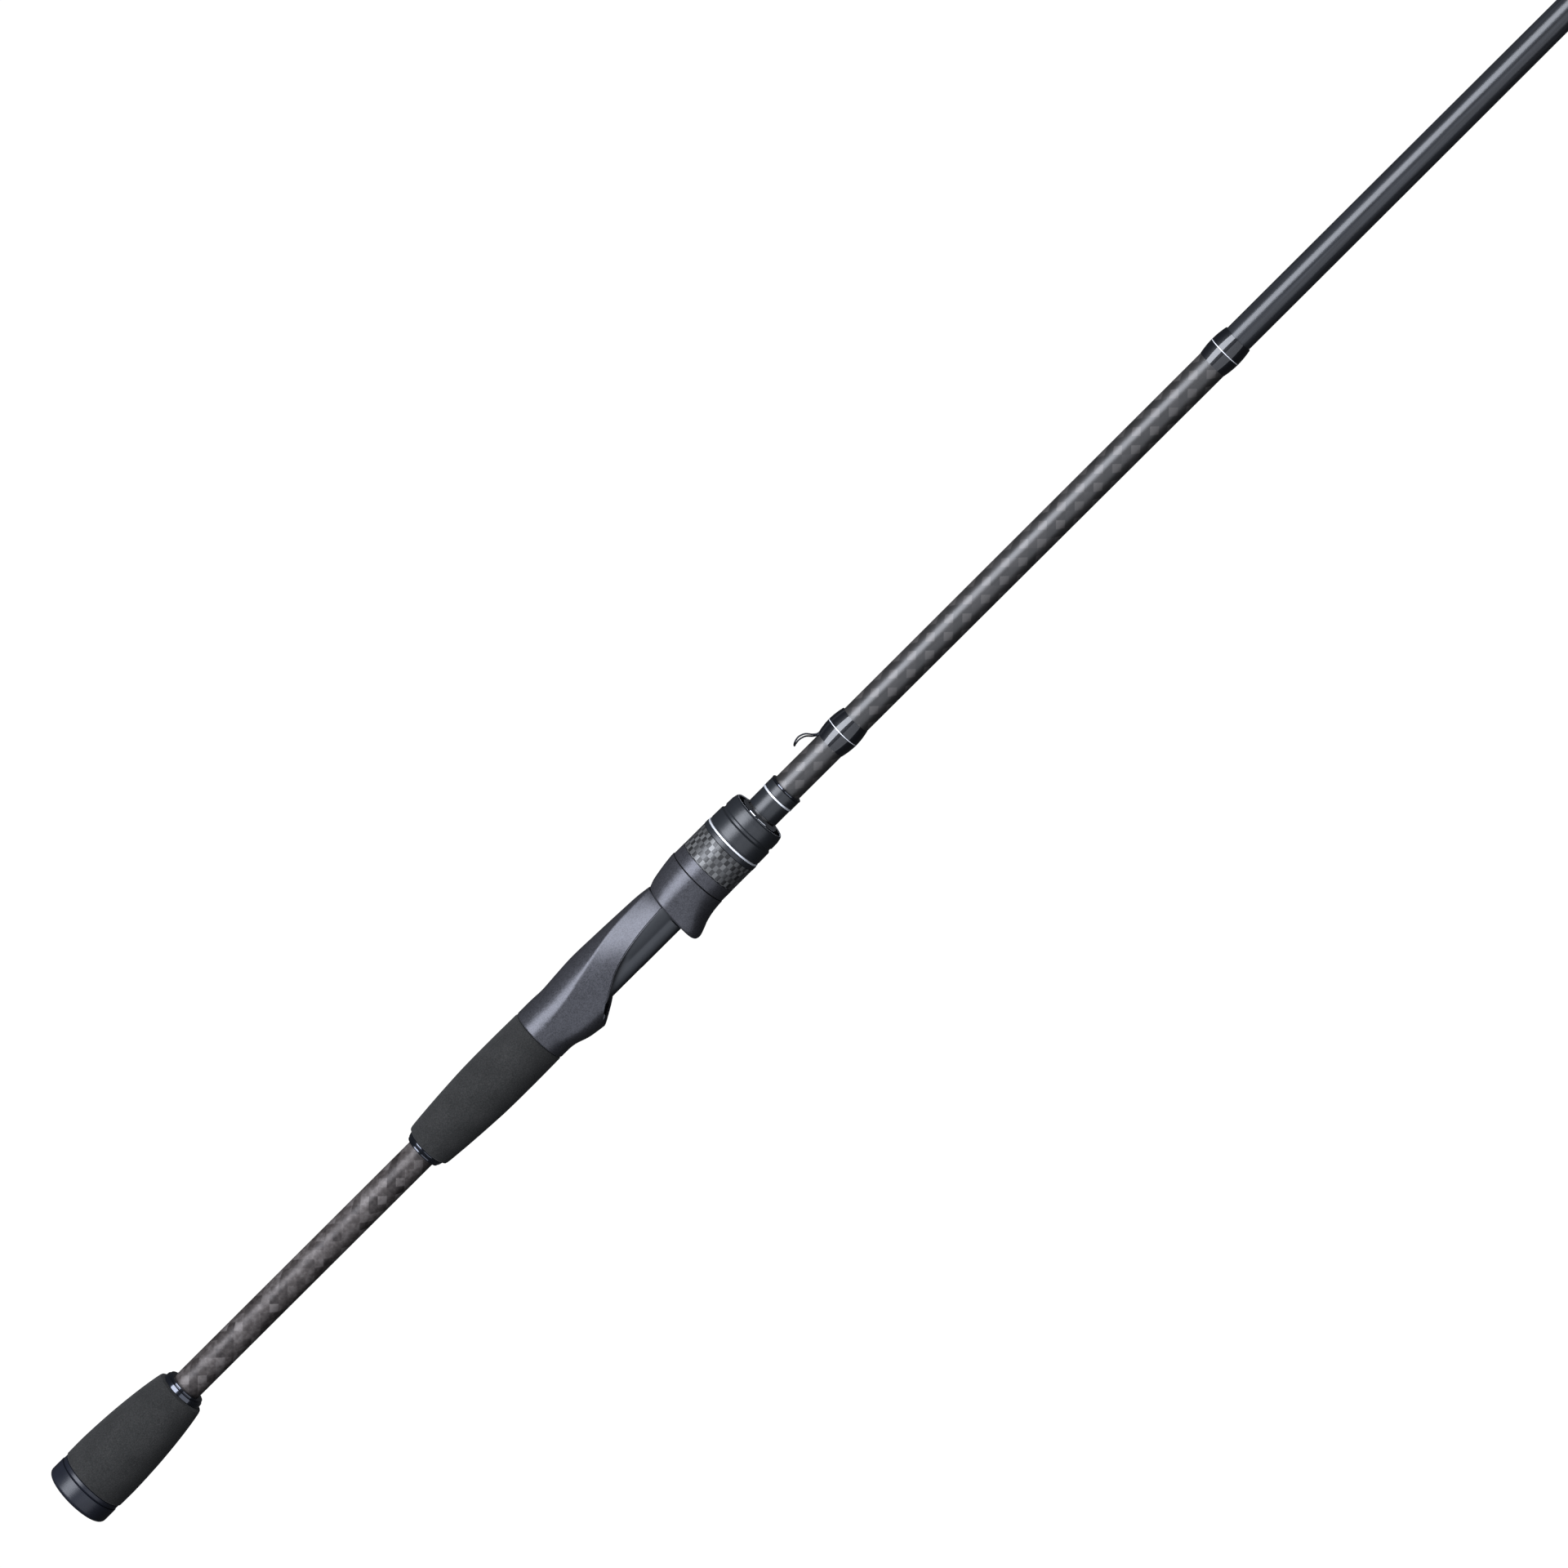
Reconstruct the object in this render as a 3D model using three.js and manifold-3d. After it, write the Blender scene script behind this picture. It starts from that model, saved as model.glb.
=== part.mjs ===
// Spinning rod, 1.98 m, one piece, with an empty screw-down reel seat.
// Millimetres. +X runs from butt to tip along the axis of the blank. +Z is the side of the hook
// keeper, -Z the side of the reel and the guides. The origin is the centre of the butt cap's end.
import * as THREE from 'three';
import { mergeVertices } from 'three/addons/utils/BufferGeometryUtils.js';
import Module from 'manifold-3d';

const wasm = await Module();
wasm.setup();

// ---- driving dimensions -------------------------------------------------------------------
const SIDES = 24;            // facets of a handle piece
const BLANK_SIDES = 16;      // facets of the blank and of what is wound or bonded on it
const STACK_GAP = 0.1;       // between rings stacked on the axis
const SLIDE_GAP = 0.3;       // between pieces that slide on each other
const BOND_GAP = 0.06;       // glue line under a sleeve or a wrap

const BLANK = { start: 3.2, end: 1975.5, butt: 5.72, tip: 0.95, taperFrom: 620, taperPower: 1.75 };
const REAR_SLEEVE = { start: 10.5, end: 252, radius: 6.06 };
const FORE_SLEEVE = { start: 371.3, end: 618, radius: 5.95, endRadius: 6.08 };
const GRIP_BORE = 6.35;

const CAP = { length: 7.5, radius: 14.0, round: 1.5, floor: 2.8 };
const CAP_RING = { start: 7.6, end: 9.7, radius: 13.75 };
const REAR_GRIP = { start: 9.8, end: 58.4 };
const REAR_CHECK = { start: 58.5, end: 61.5, radius: 8.85, lip: 8.1 };
const FORE_CHECK = { start: 190.6, end: 193.2, radius: 8.35, lip: 7.55 };
const FORE_GRIP = { start: 193.3, end: 253.9 };

const SEAT = { start: 254.1, end: 370.9, bore: 7.4, round: 11.6, wide: 12.0 };
const BED = { level: -9.1, halfWidth: 8.3, corner: 3.3, start: 262, end: 322.3 };
const BARREL = { start: 300, radius: 9.2, slotWidth: 3.2, slotFloor: 8.2, slotStart: 323.9 };
const POCKET = { start: 263.5, wall: 1.3, mouth: 274.3 };
const ARBOR = { outer: 7.1, rearStart: 264, rearEnd: 286, frontStart: 330, frontEnd: 362 };

const HOOD = { edge: 323.6, lean: 0.07, end: 339.7, bore: 9.5, keyWidth: 2.4, keyRoot: 8.6 };
const CLIP = { start: 336.5, end: 337.5, inner: 10.15, outer: 11.45, room: 0.2 };
const NUT = { start: 335.9, front: 359.1, end: 372.9, bore: 9.5, core: 10.5, counterbore: 10.9 };
const NUT_BANDS = { inner: 10.6, collar: 12.6, carbon: 12.55, black: 12.65, silver: 12.5 };

const BARREL_RING = { start: 371.1, end: 373.85, radius: 8.25 };
const TRIM = { start: 374.4, inner: 6.25, sleeve: 6.81, ring: 6.99, collar: 6.93, front: 7.02 };

const KEEPER = { wire: 0.33, halfWidth: 1.9, tilt: 14 };
const KEEPER_WRAP = { start: 410.6, end: 424.4, band: 417.1, bandWidth: 0.5, bump: 0.86 };
const UPPER_WRAP = { start: 612, end: 625.4, band: 618.4, bandWidth: 0.5 };

// x of the ring, ceramic radii, height of its centre off the blank, and the length of a foot
const GUIDES = [
  { x: 850, ring: 11.6, hole: 10.0, height: 27, foot: 15, feet: 2 },
  { x: 1100, ring: 7.5, hole: 6.2, height: 17.5, foot: 12, feet: 2 },
  { x: 1310, ring: 4.8, hole: 3.75, height: 11.5, foot: 10, feet: 1 },
  { x: 1485, ring: 3.5, hole: 2.6, height: 8, foot: 8, feet: 1 },
  { x: 1635, ring: 3.0, hole: 2.2, height: 6.6, foot: 7, feet: 1 },
  { x: 1765, ring: 3.0, hole: 2.2, height: 6.2, foot: 7, feet: 1 },
  { x: 1880, ring: 3.0, hole: 2.2, height: 5.8, foot: 7, feet: 1 },
];
const FOOT = { thickness: 0.55, coverAngle: 0.42 };
const GUIDE_TILT = 12;       // degrees that a ring leans to the tip
const TIP_TOP = {
  start: 1966, tubeEnd: 1976.3, wall: 0.45, x: 1978.9, ring: 2.7, hole: 1.9, drop: 3.6, wire: 0.4,
};

// ---- materials ----------------------------------------------------------------------------
function finish(color, roughness, metalness = 0) {
  return { color, roughness, metalness };
}
const FINISH = {
  glossBlack: finish(0x10131a, 0.15),
  navyGloss: finish(0x1c2230, 0.22),
  foam: finish(0x2b2c2f, 0.95),
  wovenCarbon: finish(0x38383c, 0.35),
  blank: finish(0x232427, 0.3),
  satinPaint: finish(0x3c424c, 0.45, 0.3),
  paleLiner: finish(0x8d9096, 0.5),
  nylon: finish(0x2c2f33, 0.6),
  silver: finish(0xc9ccd2, 0.2, 1),
  metallicThread: finish(0xc9ccd2, 0.35, 0.8),
  blackMetal: finish(0x1b1c1f, 0.35, 0.6),
  ceramic: finish(0x15161a, 0.12),
};

const rod = new THREE.Group();

function add(name, geometry, look, parent = rod) {
  const mesh = new THREE.Mesh(geometry, new THREE.MeshStandardMaterial(look));
  mesh.name = name;
  parent.add(mesh);
  return mesh;
}

// ---- geometry helpers ---------------------------------------------------------------------
// Welds a geometry to bare positions and turns it so that its faces point out.
function outward(geometry) {
  const bare = geometry.index ? geometry : geometry.clone();
  bare.deleteAttribute('normal');
  bare.deleteAttribute('uv');
  const welded = mergeVertices(bare, 1e-4);
  const p = welded.attributes.position;
  const a = new THREE.Vector3();
  const b = new THREE.Vector3();
  const c = new THREE.Vector3();
  const kept = [];
  let volume = 0;
  for (let i = 0; i < welded.index.count; i += 3) {
    const [i0, i1, i2] = [0, 1, 2].map((k) => welded.index.getX(i + k));
    if (i0 === i1 || i1 === i2 || i2 === i0) continue;
    kept.push(i0, i1, i2);
    volume += a.fromBufferAttribute(p, i0).dot(
      b.fromBufferAttribute(p, i1).cross(c.fromBufferAttribute(p, i2)));
  }
  if (volume < 0) kept.reverse();
  welded.setIndex(kept);
  return welded;
}

function toSolid(geometry) {
  const g = outward(geometry);
  const mesh = new wasm.Mesh({
    numProp: 3,
    vertProperties: new Float32Array(g.attributes.position.array),
    triVerts: new Uint32Array(g.index.array),
  });
  return new wasm.Manifold(mesh);
}

function toGeometry(solid) {
  const mesh = solid.getMesh();
  const g = new THREE.BufferGeometry();
  g.setAttribute('position', new THREE.BufferAttribute(mesh.vertProperties, 3));
  g.setIndex(new THREE.BufferAttribute(mesh.triVerts, 1));
  return g;
}

function join(...geometries) {
  return toGeometry(geometries.map(toSolid).reduce((sum, next) => sum.add(next)));
}

function cut(geometry, ...tools) {
  const rest = tools.map(toSolid).reduce((solid, tool) => solid.subtract(tool), toSolid(geometry));
  return toGeometry(rest);
}

function common(geometry, other) {
  return toGeometry(toSolid(geometry).intersect(toSolid(other)));
}

// Turns a profile of [x, radius] points about the X axis. A profile that stays off the axis is
// closed on itself, so it gives a ring.
function turned(profile, sides = SIDES) {
  const points = profile.map(([x, r]) => new THREE.Vector2(r, x));
  if (profile[0][1] > 0) points.push(points[0].clone());
  const g = new THREE.LatheGeometry(points, sides);
  g.rotateZ(-Math.PI / 2);
  return outward(g);
}

// A plain ring from x0 to x1 between two radii.
function ring(x0, x1, inner, outer, sides = SIDES) {
  return turned([[x0, inner], [x0, outer], [x1, outer], [x1, inner]], sides);
}

function box(x0, x1, y0, y1, z0, z1) {
  const g = new THREE.BoxGeometry(x1 - x0, y1 - y0, z1 - z0);
  g.translate((x0 + x1) / 2, (y0 + y1) / 2, (z0 + z1) / 2);
  return g;
}

// Extrudes an outline of [x, z] points across the rod.
function acrossRod(outline, halfWidth) {
  const shape = new THREE.Shape(outline.map(([x, z]) => new THREE.Vector2(x, z)));
  const g = new THREE.ExtrudeGeometry(shape, { depth: 2 * halfWidth, bevelEnabled: false });
  g.translate(0, 0, -halfWidth);
  g.rotateX(Math.PI / 2);
  return g;
}

// A smooth curve through a few [x, value] points.
function along(table) {
  const xs = table.map((row) => row[0]);
  const values = table.map((row) => row[1]);
  const spline = new THREE.CubicInterpolant(xs, values, 1, new Float32Array(1));
  return (x) => spline.evaluate(THREE.MathUtils.clamp(x, xs[0], xs[xs.length - 1]))[0];
}

// A closed solid carried along X: section(x, angle) gives [y, z], with the angle from +Z.
function carried(stations, section, sides = SIDES) {
  const last = stations.length - 1;
  const count = stations.length + 2;
  const points = Array.from({ length: count }, (_, k) => new THREE.Vector2(k % (count - 1) ? 1 : 0, k));
  const g = new THREE.LatheGeometry(points, sides);
  for (let i = 0; i <= sides; i++) {
    for (let k = 0; k < count; k++) {
      const x = stations[THREE.MathUtils.clamp(k - 1, 0, last)];
      const onAxis = k === 0 || k === count - 1;
      const [y, z] = onAxis ? [0, 0] : section(x, 2 * Math.PI * (i % sides) / sides);
      g.attributes.position.setXYZ(i * count + k, x, y, z);
    }
  }
  return outward(g);
}

function spread(from, to, steps) {
  return Array.from({ length: steps + 1 }, (_, k) => from + (to - from) * k / steps);
}

// Pushes a ring's vertices off the axis around one direction, to make room for what lies under it.
// The direction is an angle from +Z towards -Y.
function bumped(geometry, height, direction, halfAngle) {
  const p = geometry.attributes.position;
  for (let i = 0; i < p.count; i++) {
    const r = Math.hypot(p.getY(i), p.getZ(i));
    const facing = (Math.cos(direction) * p.getZ(i) - Math.sin(direction) * p.getY(i)) / r;
    const away = Math.acos(THREE.MathUtils.clamp(facing, -1, 1));
    const lift = height * (1 - THREE.MathUtils.smoothstep(away, halfAngle, halfAngle * 2.2));
    const scale = (r + lift) / r;
    p.setXYZ(i, p.getX(i), p.getY(i) * scale, p.getZ(i) * scale);
  }
  return geometry;
}

// A bar of a small section carried along a smooth path.
function bar(points, section, steps) {
  const path = new THREE.CatmullRomCurve3(points.map((p) => new THREE.Vector3(...p)));
  return new THREE.ExtrudeGeometry(section, { steps, bevelEnabled: false, extrudePath: path });
}

function polygon(radius, sides) {
  const angles = spread(0, 2 * Math.PI, sides).slice(0, sides);
  const corner = (a) => new THREE.Vector2(radius * Math.cos(a), radius * Math.sin(a));
  return new THREE.Shape(angles.map(corner));
}

function blankRadius(x) {
  const t = THREE.MathUtils.clamp((x - BLANK.taperFrom) / (BLANK.end - BLANK.taperFrom), 0, 1);
  return BLANK.butt - (BLANK.butt - BLANK.tip) * t ** BLANK.taperPower;
}

// ---- blank and its woven sleeves ----------------------------------------------------------
function makeBlank() {
  const stations = [BLANK.start, BLANK.taperFrom, ...spread(760, BLANK.end, 9)];
  const wall = (x) => THREE.MathUtils.mapLinear(x, BLANK.start, BLANK.end, 1.1, 0.45);
  const outside = stations.map((x) => [x, blankRadius(x)]);
  const inside = stations.map((x) => [x, blankRadius(x) - wall(x)]).reverse();
  add('blank', turned([...outside, ...inside], BLANK_SIDES), FINISH.blank);
}

function makeSleeves() {
  const inner = BLANK.butt + BOND_GAP;
  const rear = REAR_SLEEVE;
  add('rear_carbon_sleeve', turned([
    [rear.start, inner], [rear.start, rear.radius], [rear.end, rear.radius], [rear.end, inner],
  ], BLANK_SIDES), FINISH.wovenCarbon);
  const fore = FORE_SLEEVE;
  add('fore_carbon_sleeve', turned([
    [fore.start, inner], [fore.start, fore.radius], [fore.end, fore.endRadius], [fore.end, inner],
  ], BLANK_SIDES), FINISH.wovenCarbon);
}

// ---- butt and grips -----------------------------------------------------------------------
function makeButt() {
  const socket = BLANK.butt + SLIDE_GAP;
  const corner = spread(0, Math.PI / 2, 3).map((a) => [
    CAP.round * (1 - Math.cos(a)), CAP.radius - CAP.round * (1 - Math.sin(a)),
  ]);
  add('butt_cap', turned([
    [0, 0], ...corner, [CAP.length, CAP.radius], [CAP.length, socket],
    [CAP.floor, socket], [CAP.floor, 0],
  ]), FINISH.navyGloss);
  const r = CAP_RING;
  add('butt_cap_ring', ring(r.start, r.end, GRIP_BORE, r.radius), FINISH.navyGloss);
}

function makeGrips() {
  const rear = [
    [REAR_GRIP.start, 13.75], [10.8, 14.15], [19, 14.1], [31, 13.54], [38.7, 12.92],
    [46.3, 12.1], [52, 11.3], [56.6, 10.5], [57.9, 10.1], [REAR_GRIP.end, 9.5],
  ];
  add('rear_grip', turned([
    [REAR_GRIP.start, GRIP_BORE], ...rear, [REAR_GRIP.end, GRIP_BORE],
  ]), FINISH.foam);
  const fore = [
    [FORE_GRIP.start, 8.9], [193.8, 9.3], [198.7, 9.95], [205, 10.5], [214, 11.1],
    [225.1, 11.63], [240, 11.76], [253.4, 11.6], [FORE_GRIP.end, 11.3],
  ];
  add('fore_grip', turned([
    [FORE_GRIP.start, GRIP_BORE], ...fore, [FORE_GRIP.end, GRIP_BORE],
  ]), FINISH.foam);
}

function makeChecks() {
  const rear = REAR_CHECK;
  add('rear_winding_check', turned([
    [rear.start, GRIP_BORE], [rear.start, rear.radius], [rear.end - 1.0, rear.radius - 0.35],
    [rear.end - 0.8, rear.lip - 0.1], [rear.end - 0.5, rear.lip], [rear.end, rear.lip - 0.2],
    [rear.end, GRIP_BORE],
  ]), FINISH.navyGloss);
  const fore = FORE_CHECK;
  add('fore_winding_check', turned([
    [fore.start, GRIP_BORE], [fore.start, fore.lip - 0.2], [fore.start + 0.4, fore.lip],
    [fore.end, fore.radius], [fore.end, GRIP_BORE],
  ]), FINISH.navyGloss);
}

// ---- reel seat ----------------------------------------------------------------------------
// Height of the back, lowest line of the fixed hood, height of the ridge that sweeps up the side,
// and the lower edge of the leaf-shaped side face, each along the seat.
const seatTop = along([
  [254, 11.65], [260, 11.6], [267, 11.35], [275, 11.85], [284, 12.3], [296, 12.0], [310, 11.45],
  [318, 11.0], [324, 10.2],
]);
const seatBottom = along([
  [254, 11.6], [259, 11.8], [266, 13.5], [271, 14.4], [276, 14.9], [300, 14.9],
]);
const ridgeHeight = along([
  [254, 0.4], [261, 0.6], [273, 2.3], [283, 4.8], [294, 7.35], [302, 8.9], [310, 9.6], [324, 9.7],
]);
const LEAF_EDGE = [
  [282.4, -9.45], [288, -6.6], [293.7, -3.6], [301.5, -1.2], [312, 0.5], [326, 1.5],
];
const leafEdge = along([[254, -7], [276, -7.4], ...LEAF_EDGE]);
const leafWidth = along([[254, 9.25], [270, 10.3], [283, 10.6], [302, 10.2], [326, 9.5]]);

// Section of the seat's skin. The back is an oval centred on the axis, down to the ridge. From
// the ridge the leaf runs straight to its lower edge, and an oval closes the fixed hood below.
function seatSection(x, angle, inset = 0) {
  const side = angle <= Math.PI ? 1 : -1;
  const a = side > 0 ? angle : 2 * Math.PI - angle;
  const ridgeAngle = 0.49 * Math.PI;
  const edgeAngle = 0.706 * Math.PI;
  const top = seatTop(x);
  const wide = THREE.MathUtils.lerp(SEAT.round, SEAT.wide, THREE.MathUtils.smoothstep(x, 254, 285));
  const ridge = Math.acos(Math.min(ridgeHeight(x) / top, 0.98));
  const low = [leafWidth(x), leafEdge(x)];
  const high = [wide * Math.sin(ridge), top * Math.cos(ridge)];
  let y;
  let z;
  if (a <= ridgeAngle) {
    const t = ridge * a / ridgeAngle;
    y = wide * Math.sin(t);
    z = top * Math.cos(t);
  } else if (a <= edgeAngle) {
    const t = (a - ridgeAngle) / (edgeAngle - ridgeAngle);
    y = high[0] + (low[0] - high[0]) * t + 0.25 * Math.sin(Math.PI * t);
    z = high[1] + (low[1] - high[1]) * t;
  } else {
    const t = (a - edgeAngle) / (Math.PI - edgeAngle) * Math.PI / 2;
    y = low[0] * Math.cos(t);
    z = low[1] - (seatBottom(x) + low[1]) * Math.sin(t);
  }
  const blend = THREE.MathUtils.smoothstep(x, 255, 268);
  y = THREE.MathUtils.lerp(SEAT.round * Math.sin(a), y, blend);
  z = THREE.MathUtils.lerp(SEAT.round * Math.cos(a), z, blend);
  const scale = 1 - inset / Math.hypot(y, z);
  return [side * y * scale, z * scale];
}

function edgeCutter(x, reach) {
  return acrossRod([
    [x + HOOD.lean * reach, reach], [x + 40, reach],
    [x + 40, -reach], [x - HOOD.lean * reach, -reach],
  ], reach);
}

function bedCore() {
  const { level, halfWidth: w, corner: c } = BED;
  const shape = new THREE.Shape();
  shape.moveTo(-w, 6);
  shape.lineTo(-w, level + c);
  shape.absarc(-w + c, level + c, c, Math.PI, 1.5 * Math.PI, false);
  shape.absarc(w - c, level + c, c, 1.5 * Math.PI, 2 * Math.PI, false);
  shape.lineTo(w, 6);
  const g = new THREE.ExtrudeGeometry(shape, {
    depth: BED.end - BED.start, bevelEnabled: false, curveSegments: 4,
  });
  g.rotateX(Math.PI / 2);
  g.rotateZ(Math.PI / 2);
  g.translate(BED.start, 0, 0);
  return g;
}

function makeSeatBody() {
  const skinStations = [...spread(SEAT.start, 275, 7), ...spread(279, 326, 9)];
  const skin = carried(skinStations, seatSection, 36);
  const underLeaf = acrossRod([
    [POCKET.mouth, -15.0], ...LEAF_EDGE, [330, 1.5], [330, -30], [POCKET.mouth, -30],
  ], 20);
  const shell = cut(skin, underLeaf, edgeCutter(HOOD.edge - SLIDE_GAP, 20));
  const hollow = common(
    carried(spread(POCKET.start, 285, 6), (x, a) => seatSection(x, a, POCKET.wall), 24),
    box(POCKET.start, 284, -20, 20, -20, BED.level),
  );
  const barrel = turned([
    [BARREL.start, 0], [BARREL.start, BARREL.radius], [SEAT.end, BARREL.radius], [SEAT.end, 0],
  ]);
  const bore = turned([[250, 0], [250, SEAT.bore], [380, SEAT.bore], [380, 0]], 20);
  const side = BARREL.slotWidth / 2;
  const slot = box(BARREL.slotStart, 380, -side, side, BARREL.slotFloor, 12);
  const body = cut(join(cut(shell, hollow), bedCore(), barrel), bore, slot);
  add('reel_seat_body', body, FINISH.satinPaint);
}

function makeFixedLiner() {
  const stations = spread(POCKET.start + 0.5, 276.5, 5);
  const layer = (inset) => carried(stations, (x, a) => seatSection(x, a, inset), 24);
  const shell = cut(layer(POCKET.wall + 0.15), layer(POCKET.wall + 0.85));
  const zone = box(POCKET.start + 0.6, 275.6, -20, 20, -20, BED.level - 0.4);
  const mouth = acrossRod([
    [POCKET.mouth + 0.5, -15], [278.5, -12.2], [278.5, -8], [290, -8], [290, -30],
    [POCKET.mouth + 0.5, -30],
  ], 20);
  add('fixed_hood_liner', cut(common(shell, zone), mouth), FINISH.paleLiner);
}

function makeArbors() {
  const inner = BLANK.butt + SLIDE_GAP / 2;
  const arbor = (name, x0, x1) => {
    add(name, ring(x0, x1, inner, ARBOR.outer, BLANK_SIDES), FINISH.nylon);
  };
  arbor('rear_arbor', ARBOR.rearStart, ARBOR.rearEnd);
  arbor('front_arbor', ARBOR.frontStart, ARBOR.frontEnd);
}

// ---- moving hood --------------------------------------------------------------------------
const hoodTop = along([
  [321, 9.9], [324.3, 10.2], [327, 11.1], [330.5, 11.8], [334, 12.35], [338, 12.8], [340, 12.9],
]);
const hoodBottom = along([
  [321, 13.2], [321.9, 14.9], [323, 15.9], [324.4, 16.2], [327, 15.4], [330, 14.25], [334, 13.3],
  [338, 12.85], [340, 12.75],
]);
const hoodWidth = along([[321, 11.1], [326, 11.4], [332, 12.1], [340, 12.85]]);

// Section of the hood: half an oval above, and a fuller, squarer half oval below for the reel foot.
function hoodSection(x, angle) {
  const fullness = THREE.MathUtils.lerp(2.7, 2.0, THREE.MathUtils.smoothstep(x, 324, 338));
  return eggSection(angle, hoodWidth(x), hoodTop(x), hoodBottom(x), fullness);
}

function eggSection(angle, width, top, bottom, fullness) {
  const s = Math.sin(angle);
  const c = Math.cos(angle);
  if (c >= 0) return [width * s, top * c];
  const power = 2 / fullness;
  return [width * Math.sign(s) * Math.abs(s) ** power, -bottom * Math.abs(c) ** power];
}

function hoodPocket(inset, from, to) {
  const roof = (x) => THREE.MathUtils.mapLinear(x, 321, 333.6, 15.0, 10.4) - inset;
  const width = (x) => THREE.MathUtils.mapLinear(x, 321, 333.6, 9.2, 7.6) - inset;
  return carried(spread(from, to, 5), (x, a) => eggSection(a, width(x), 3, roof(x), 2.6), 24);
}

function makeMovingHood() {
  const skin = carried([321, 321.9, 323, 324.4, 327, 330, 333, 336, HOOD.end], hoodSection);
  const behind = acrossRod([
    [HOOD.edge + HOOD.lean * 20, 20], [310, 20], [310, -20], [HOOD.edge - HOOD.lean * 20, -20],
  ], 20);
  const r = NUT.core + 0.35;
  const groove = CLIP.outer + 0.25;
  const bore = turned([
    [300, 0], [300, HOOD.bore], [NUT.start - 0.4, HOOD.bore], [NUT.start - 0.4, r],
    [CLIP.start - CLIP.room, r], [CLIP.start - CLIP.room, groove], [CLIP.end + CLIP.room, groove],
    [CLIP.end + CLIP.room, r], [350, r], [350, 0],
  ]);
  const key = box(326, 335, -HOOD.keyWidth / 2, HOOD.keyWidth / 2, HOOD.keyRoot, 10.2);
  const body = join(cut(skin, behind, bore, hoodPocket(0, 320, 333.6)), key);
  add('moving_hood', body, FINISH.satinPaint);
}

function makeMovingLiner() {
  const layer = (inset) => hoodPocket(inset, 323.2, 332.6);
  const shell = cut(layer(0.15), layer(0.85).translate(-0.05, 0, 0));
  add('moving_hood_liner', common(shell, box(323.3, 331, -20, 20, -20, -9.75)), FINISH.paleLiner);
}

// ---- lock nut -----------------------------------------------------------------------------
function makeClipRing() {
  add('hood_clip_ring', ring(CLIP.start, CLIP.end, CLIP.inner, CLIP.outer), FINISH.silver);
}

function makeLockNut() {
  const tailGroove = CLIP.inner - 0.25;
  add('lock_nut', turned([
    [NUT.start, NUT.bore], [NUT.start, NUT.core], [CLIP.start - CLIP.room, NUT.core],
    [CLIP.start - CLIP.room, tailGroove], [CLIP.end + CLIP.room, tailGroove],
    [CLIP.end + CLIP.room, NUT.core], [NUT.front, NUT.core], [NUT.front, 12.25], [360, 12.4],
    [365.4, 12.3], [365.9, 11.65], [366.5, 11.65], [367.1, 12.0], [370.4, 11.9], [372.1, 11.5],
    [NUT.end, 10.95], [372.4, NUT.counterbore - 0.2], [368.5, NUT.counterbore - 0.2], [368.5, NUT.bore],
  ]), FINISH.glossBlack);
  const band = (name, x0, x1, radius, look) => {
    add(name, ring(x0, x1 - STACK_GAP, NUT_BANDS.inner, radius), look);
  };
  band('nut_collar', 339.95, 345.3, NUT_BANDS.collar, FINISH.satinPaint);
  band('nut_carbon_band', 345.3, 356.2, NUT_BANDS.carbon, FINISH.wovenCarbon);
  band('nut_black_ring', 356.2, 358.2, NUT_BANDS.black, FINISH.glossBlack);
  band('nut_silver_ring', 358.2, NUT.front, NUT_BANDS.silver, FINISH.silver);
}

// ---- trim in front of the nut -------------------------------------------------------------
function makeForeTrim() {
  const end = BARREL_RING;
  add('barrel_end_ring', ring(end.start, end.end, TRIM.inner, end.radius), FINISH.silver);
  const trim = (name, x0, x1, radius, look) => {
    add(name, ring(x0, x1 - STACK_GAP, TRIM.inner, radius, BLANK_SIDES), look);
  };
  trim('trim_sleeve', TRIM.start, 382.0, TRIM.sleeve, FINISH.glossBlack);
  trim('trim_silver_ring', 382.0, 382.9, TRIM.ring, FINISH.silver);
  trim('trim_collar', 382.9, 386.6, TRIM.collar, FINISH.glossBlack);
  trim('trim_front_ring', 386.6, 387.5, TRIM.front, FINISH.navyGloss);
}

// ---- hook keeper and thread wraps ---------------------------------------------------------
function makeKeeper() {
  const w = KEEPER.halfWidth;
  const seat = Math.sqrt((FORE_SLEEVE.radius + KEEPER.wire + 0.08) ** 2 - 0.9 ** 2);
  const half = [
    [423, 0.9, seat], [418, 0.9, seat], [413, 0.9, seat], [410.4, 0.95, seat + 0.08],
    [408.7, 1.2, 7.5], [406.8, 1.6, 9.6], [404.4, w, 10.45], [402.2, w * 0.85, 10.2],
    [401.2, w * 0.4, 9.75],
  ];
  const path = [...half, ...half.map(([x, y, z]) => [x, -y, z]).reverse()];
  const wire = outward(bar(path, polygon(KEEPER.wire, 5), 34));
  const keeper = add('hook_keeper', wire, FINISH.blackMetal);
  keeper.rotation.x = THREE.MathUtils.degToRad(KEEPER.tilt);
}

// A thread wrap is highest in the middle and runs out thin at both ends. A groove holds its band.
function wrapProfile(wrap, inner, edge, crown) {
  const { start, end, band, bandWidth } = wrap;
  const middle = (start + end) / 2;
  const height = (x) => edge + (crown - edge) * (1 - Math.abs((x - middle) / (end - middle)) ** 2.4);
  const floor = crown - 0.35;
  const bandEnd = band + bandWidth;
  const stations = [start, start + 1.2, start + 3.2, band, bandEnd, end - 3.2, end - 1.2, end];
  const outside = stations.flatMap((x) => {
    if (x === band) return [[x, height(x)], [x, floor]];
    if (x === bandEnd) return [[x, floor], [x, height(x)]];
    return [[x, height(x)]];
  });
  return [[start, inner], ...outside, [end, inner]];
}

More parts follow.
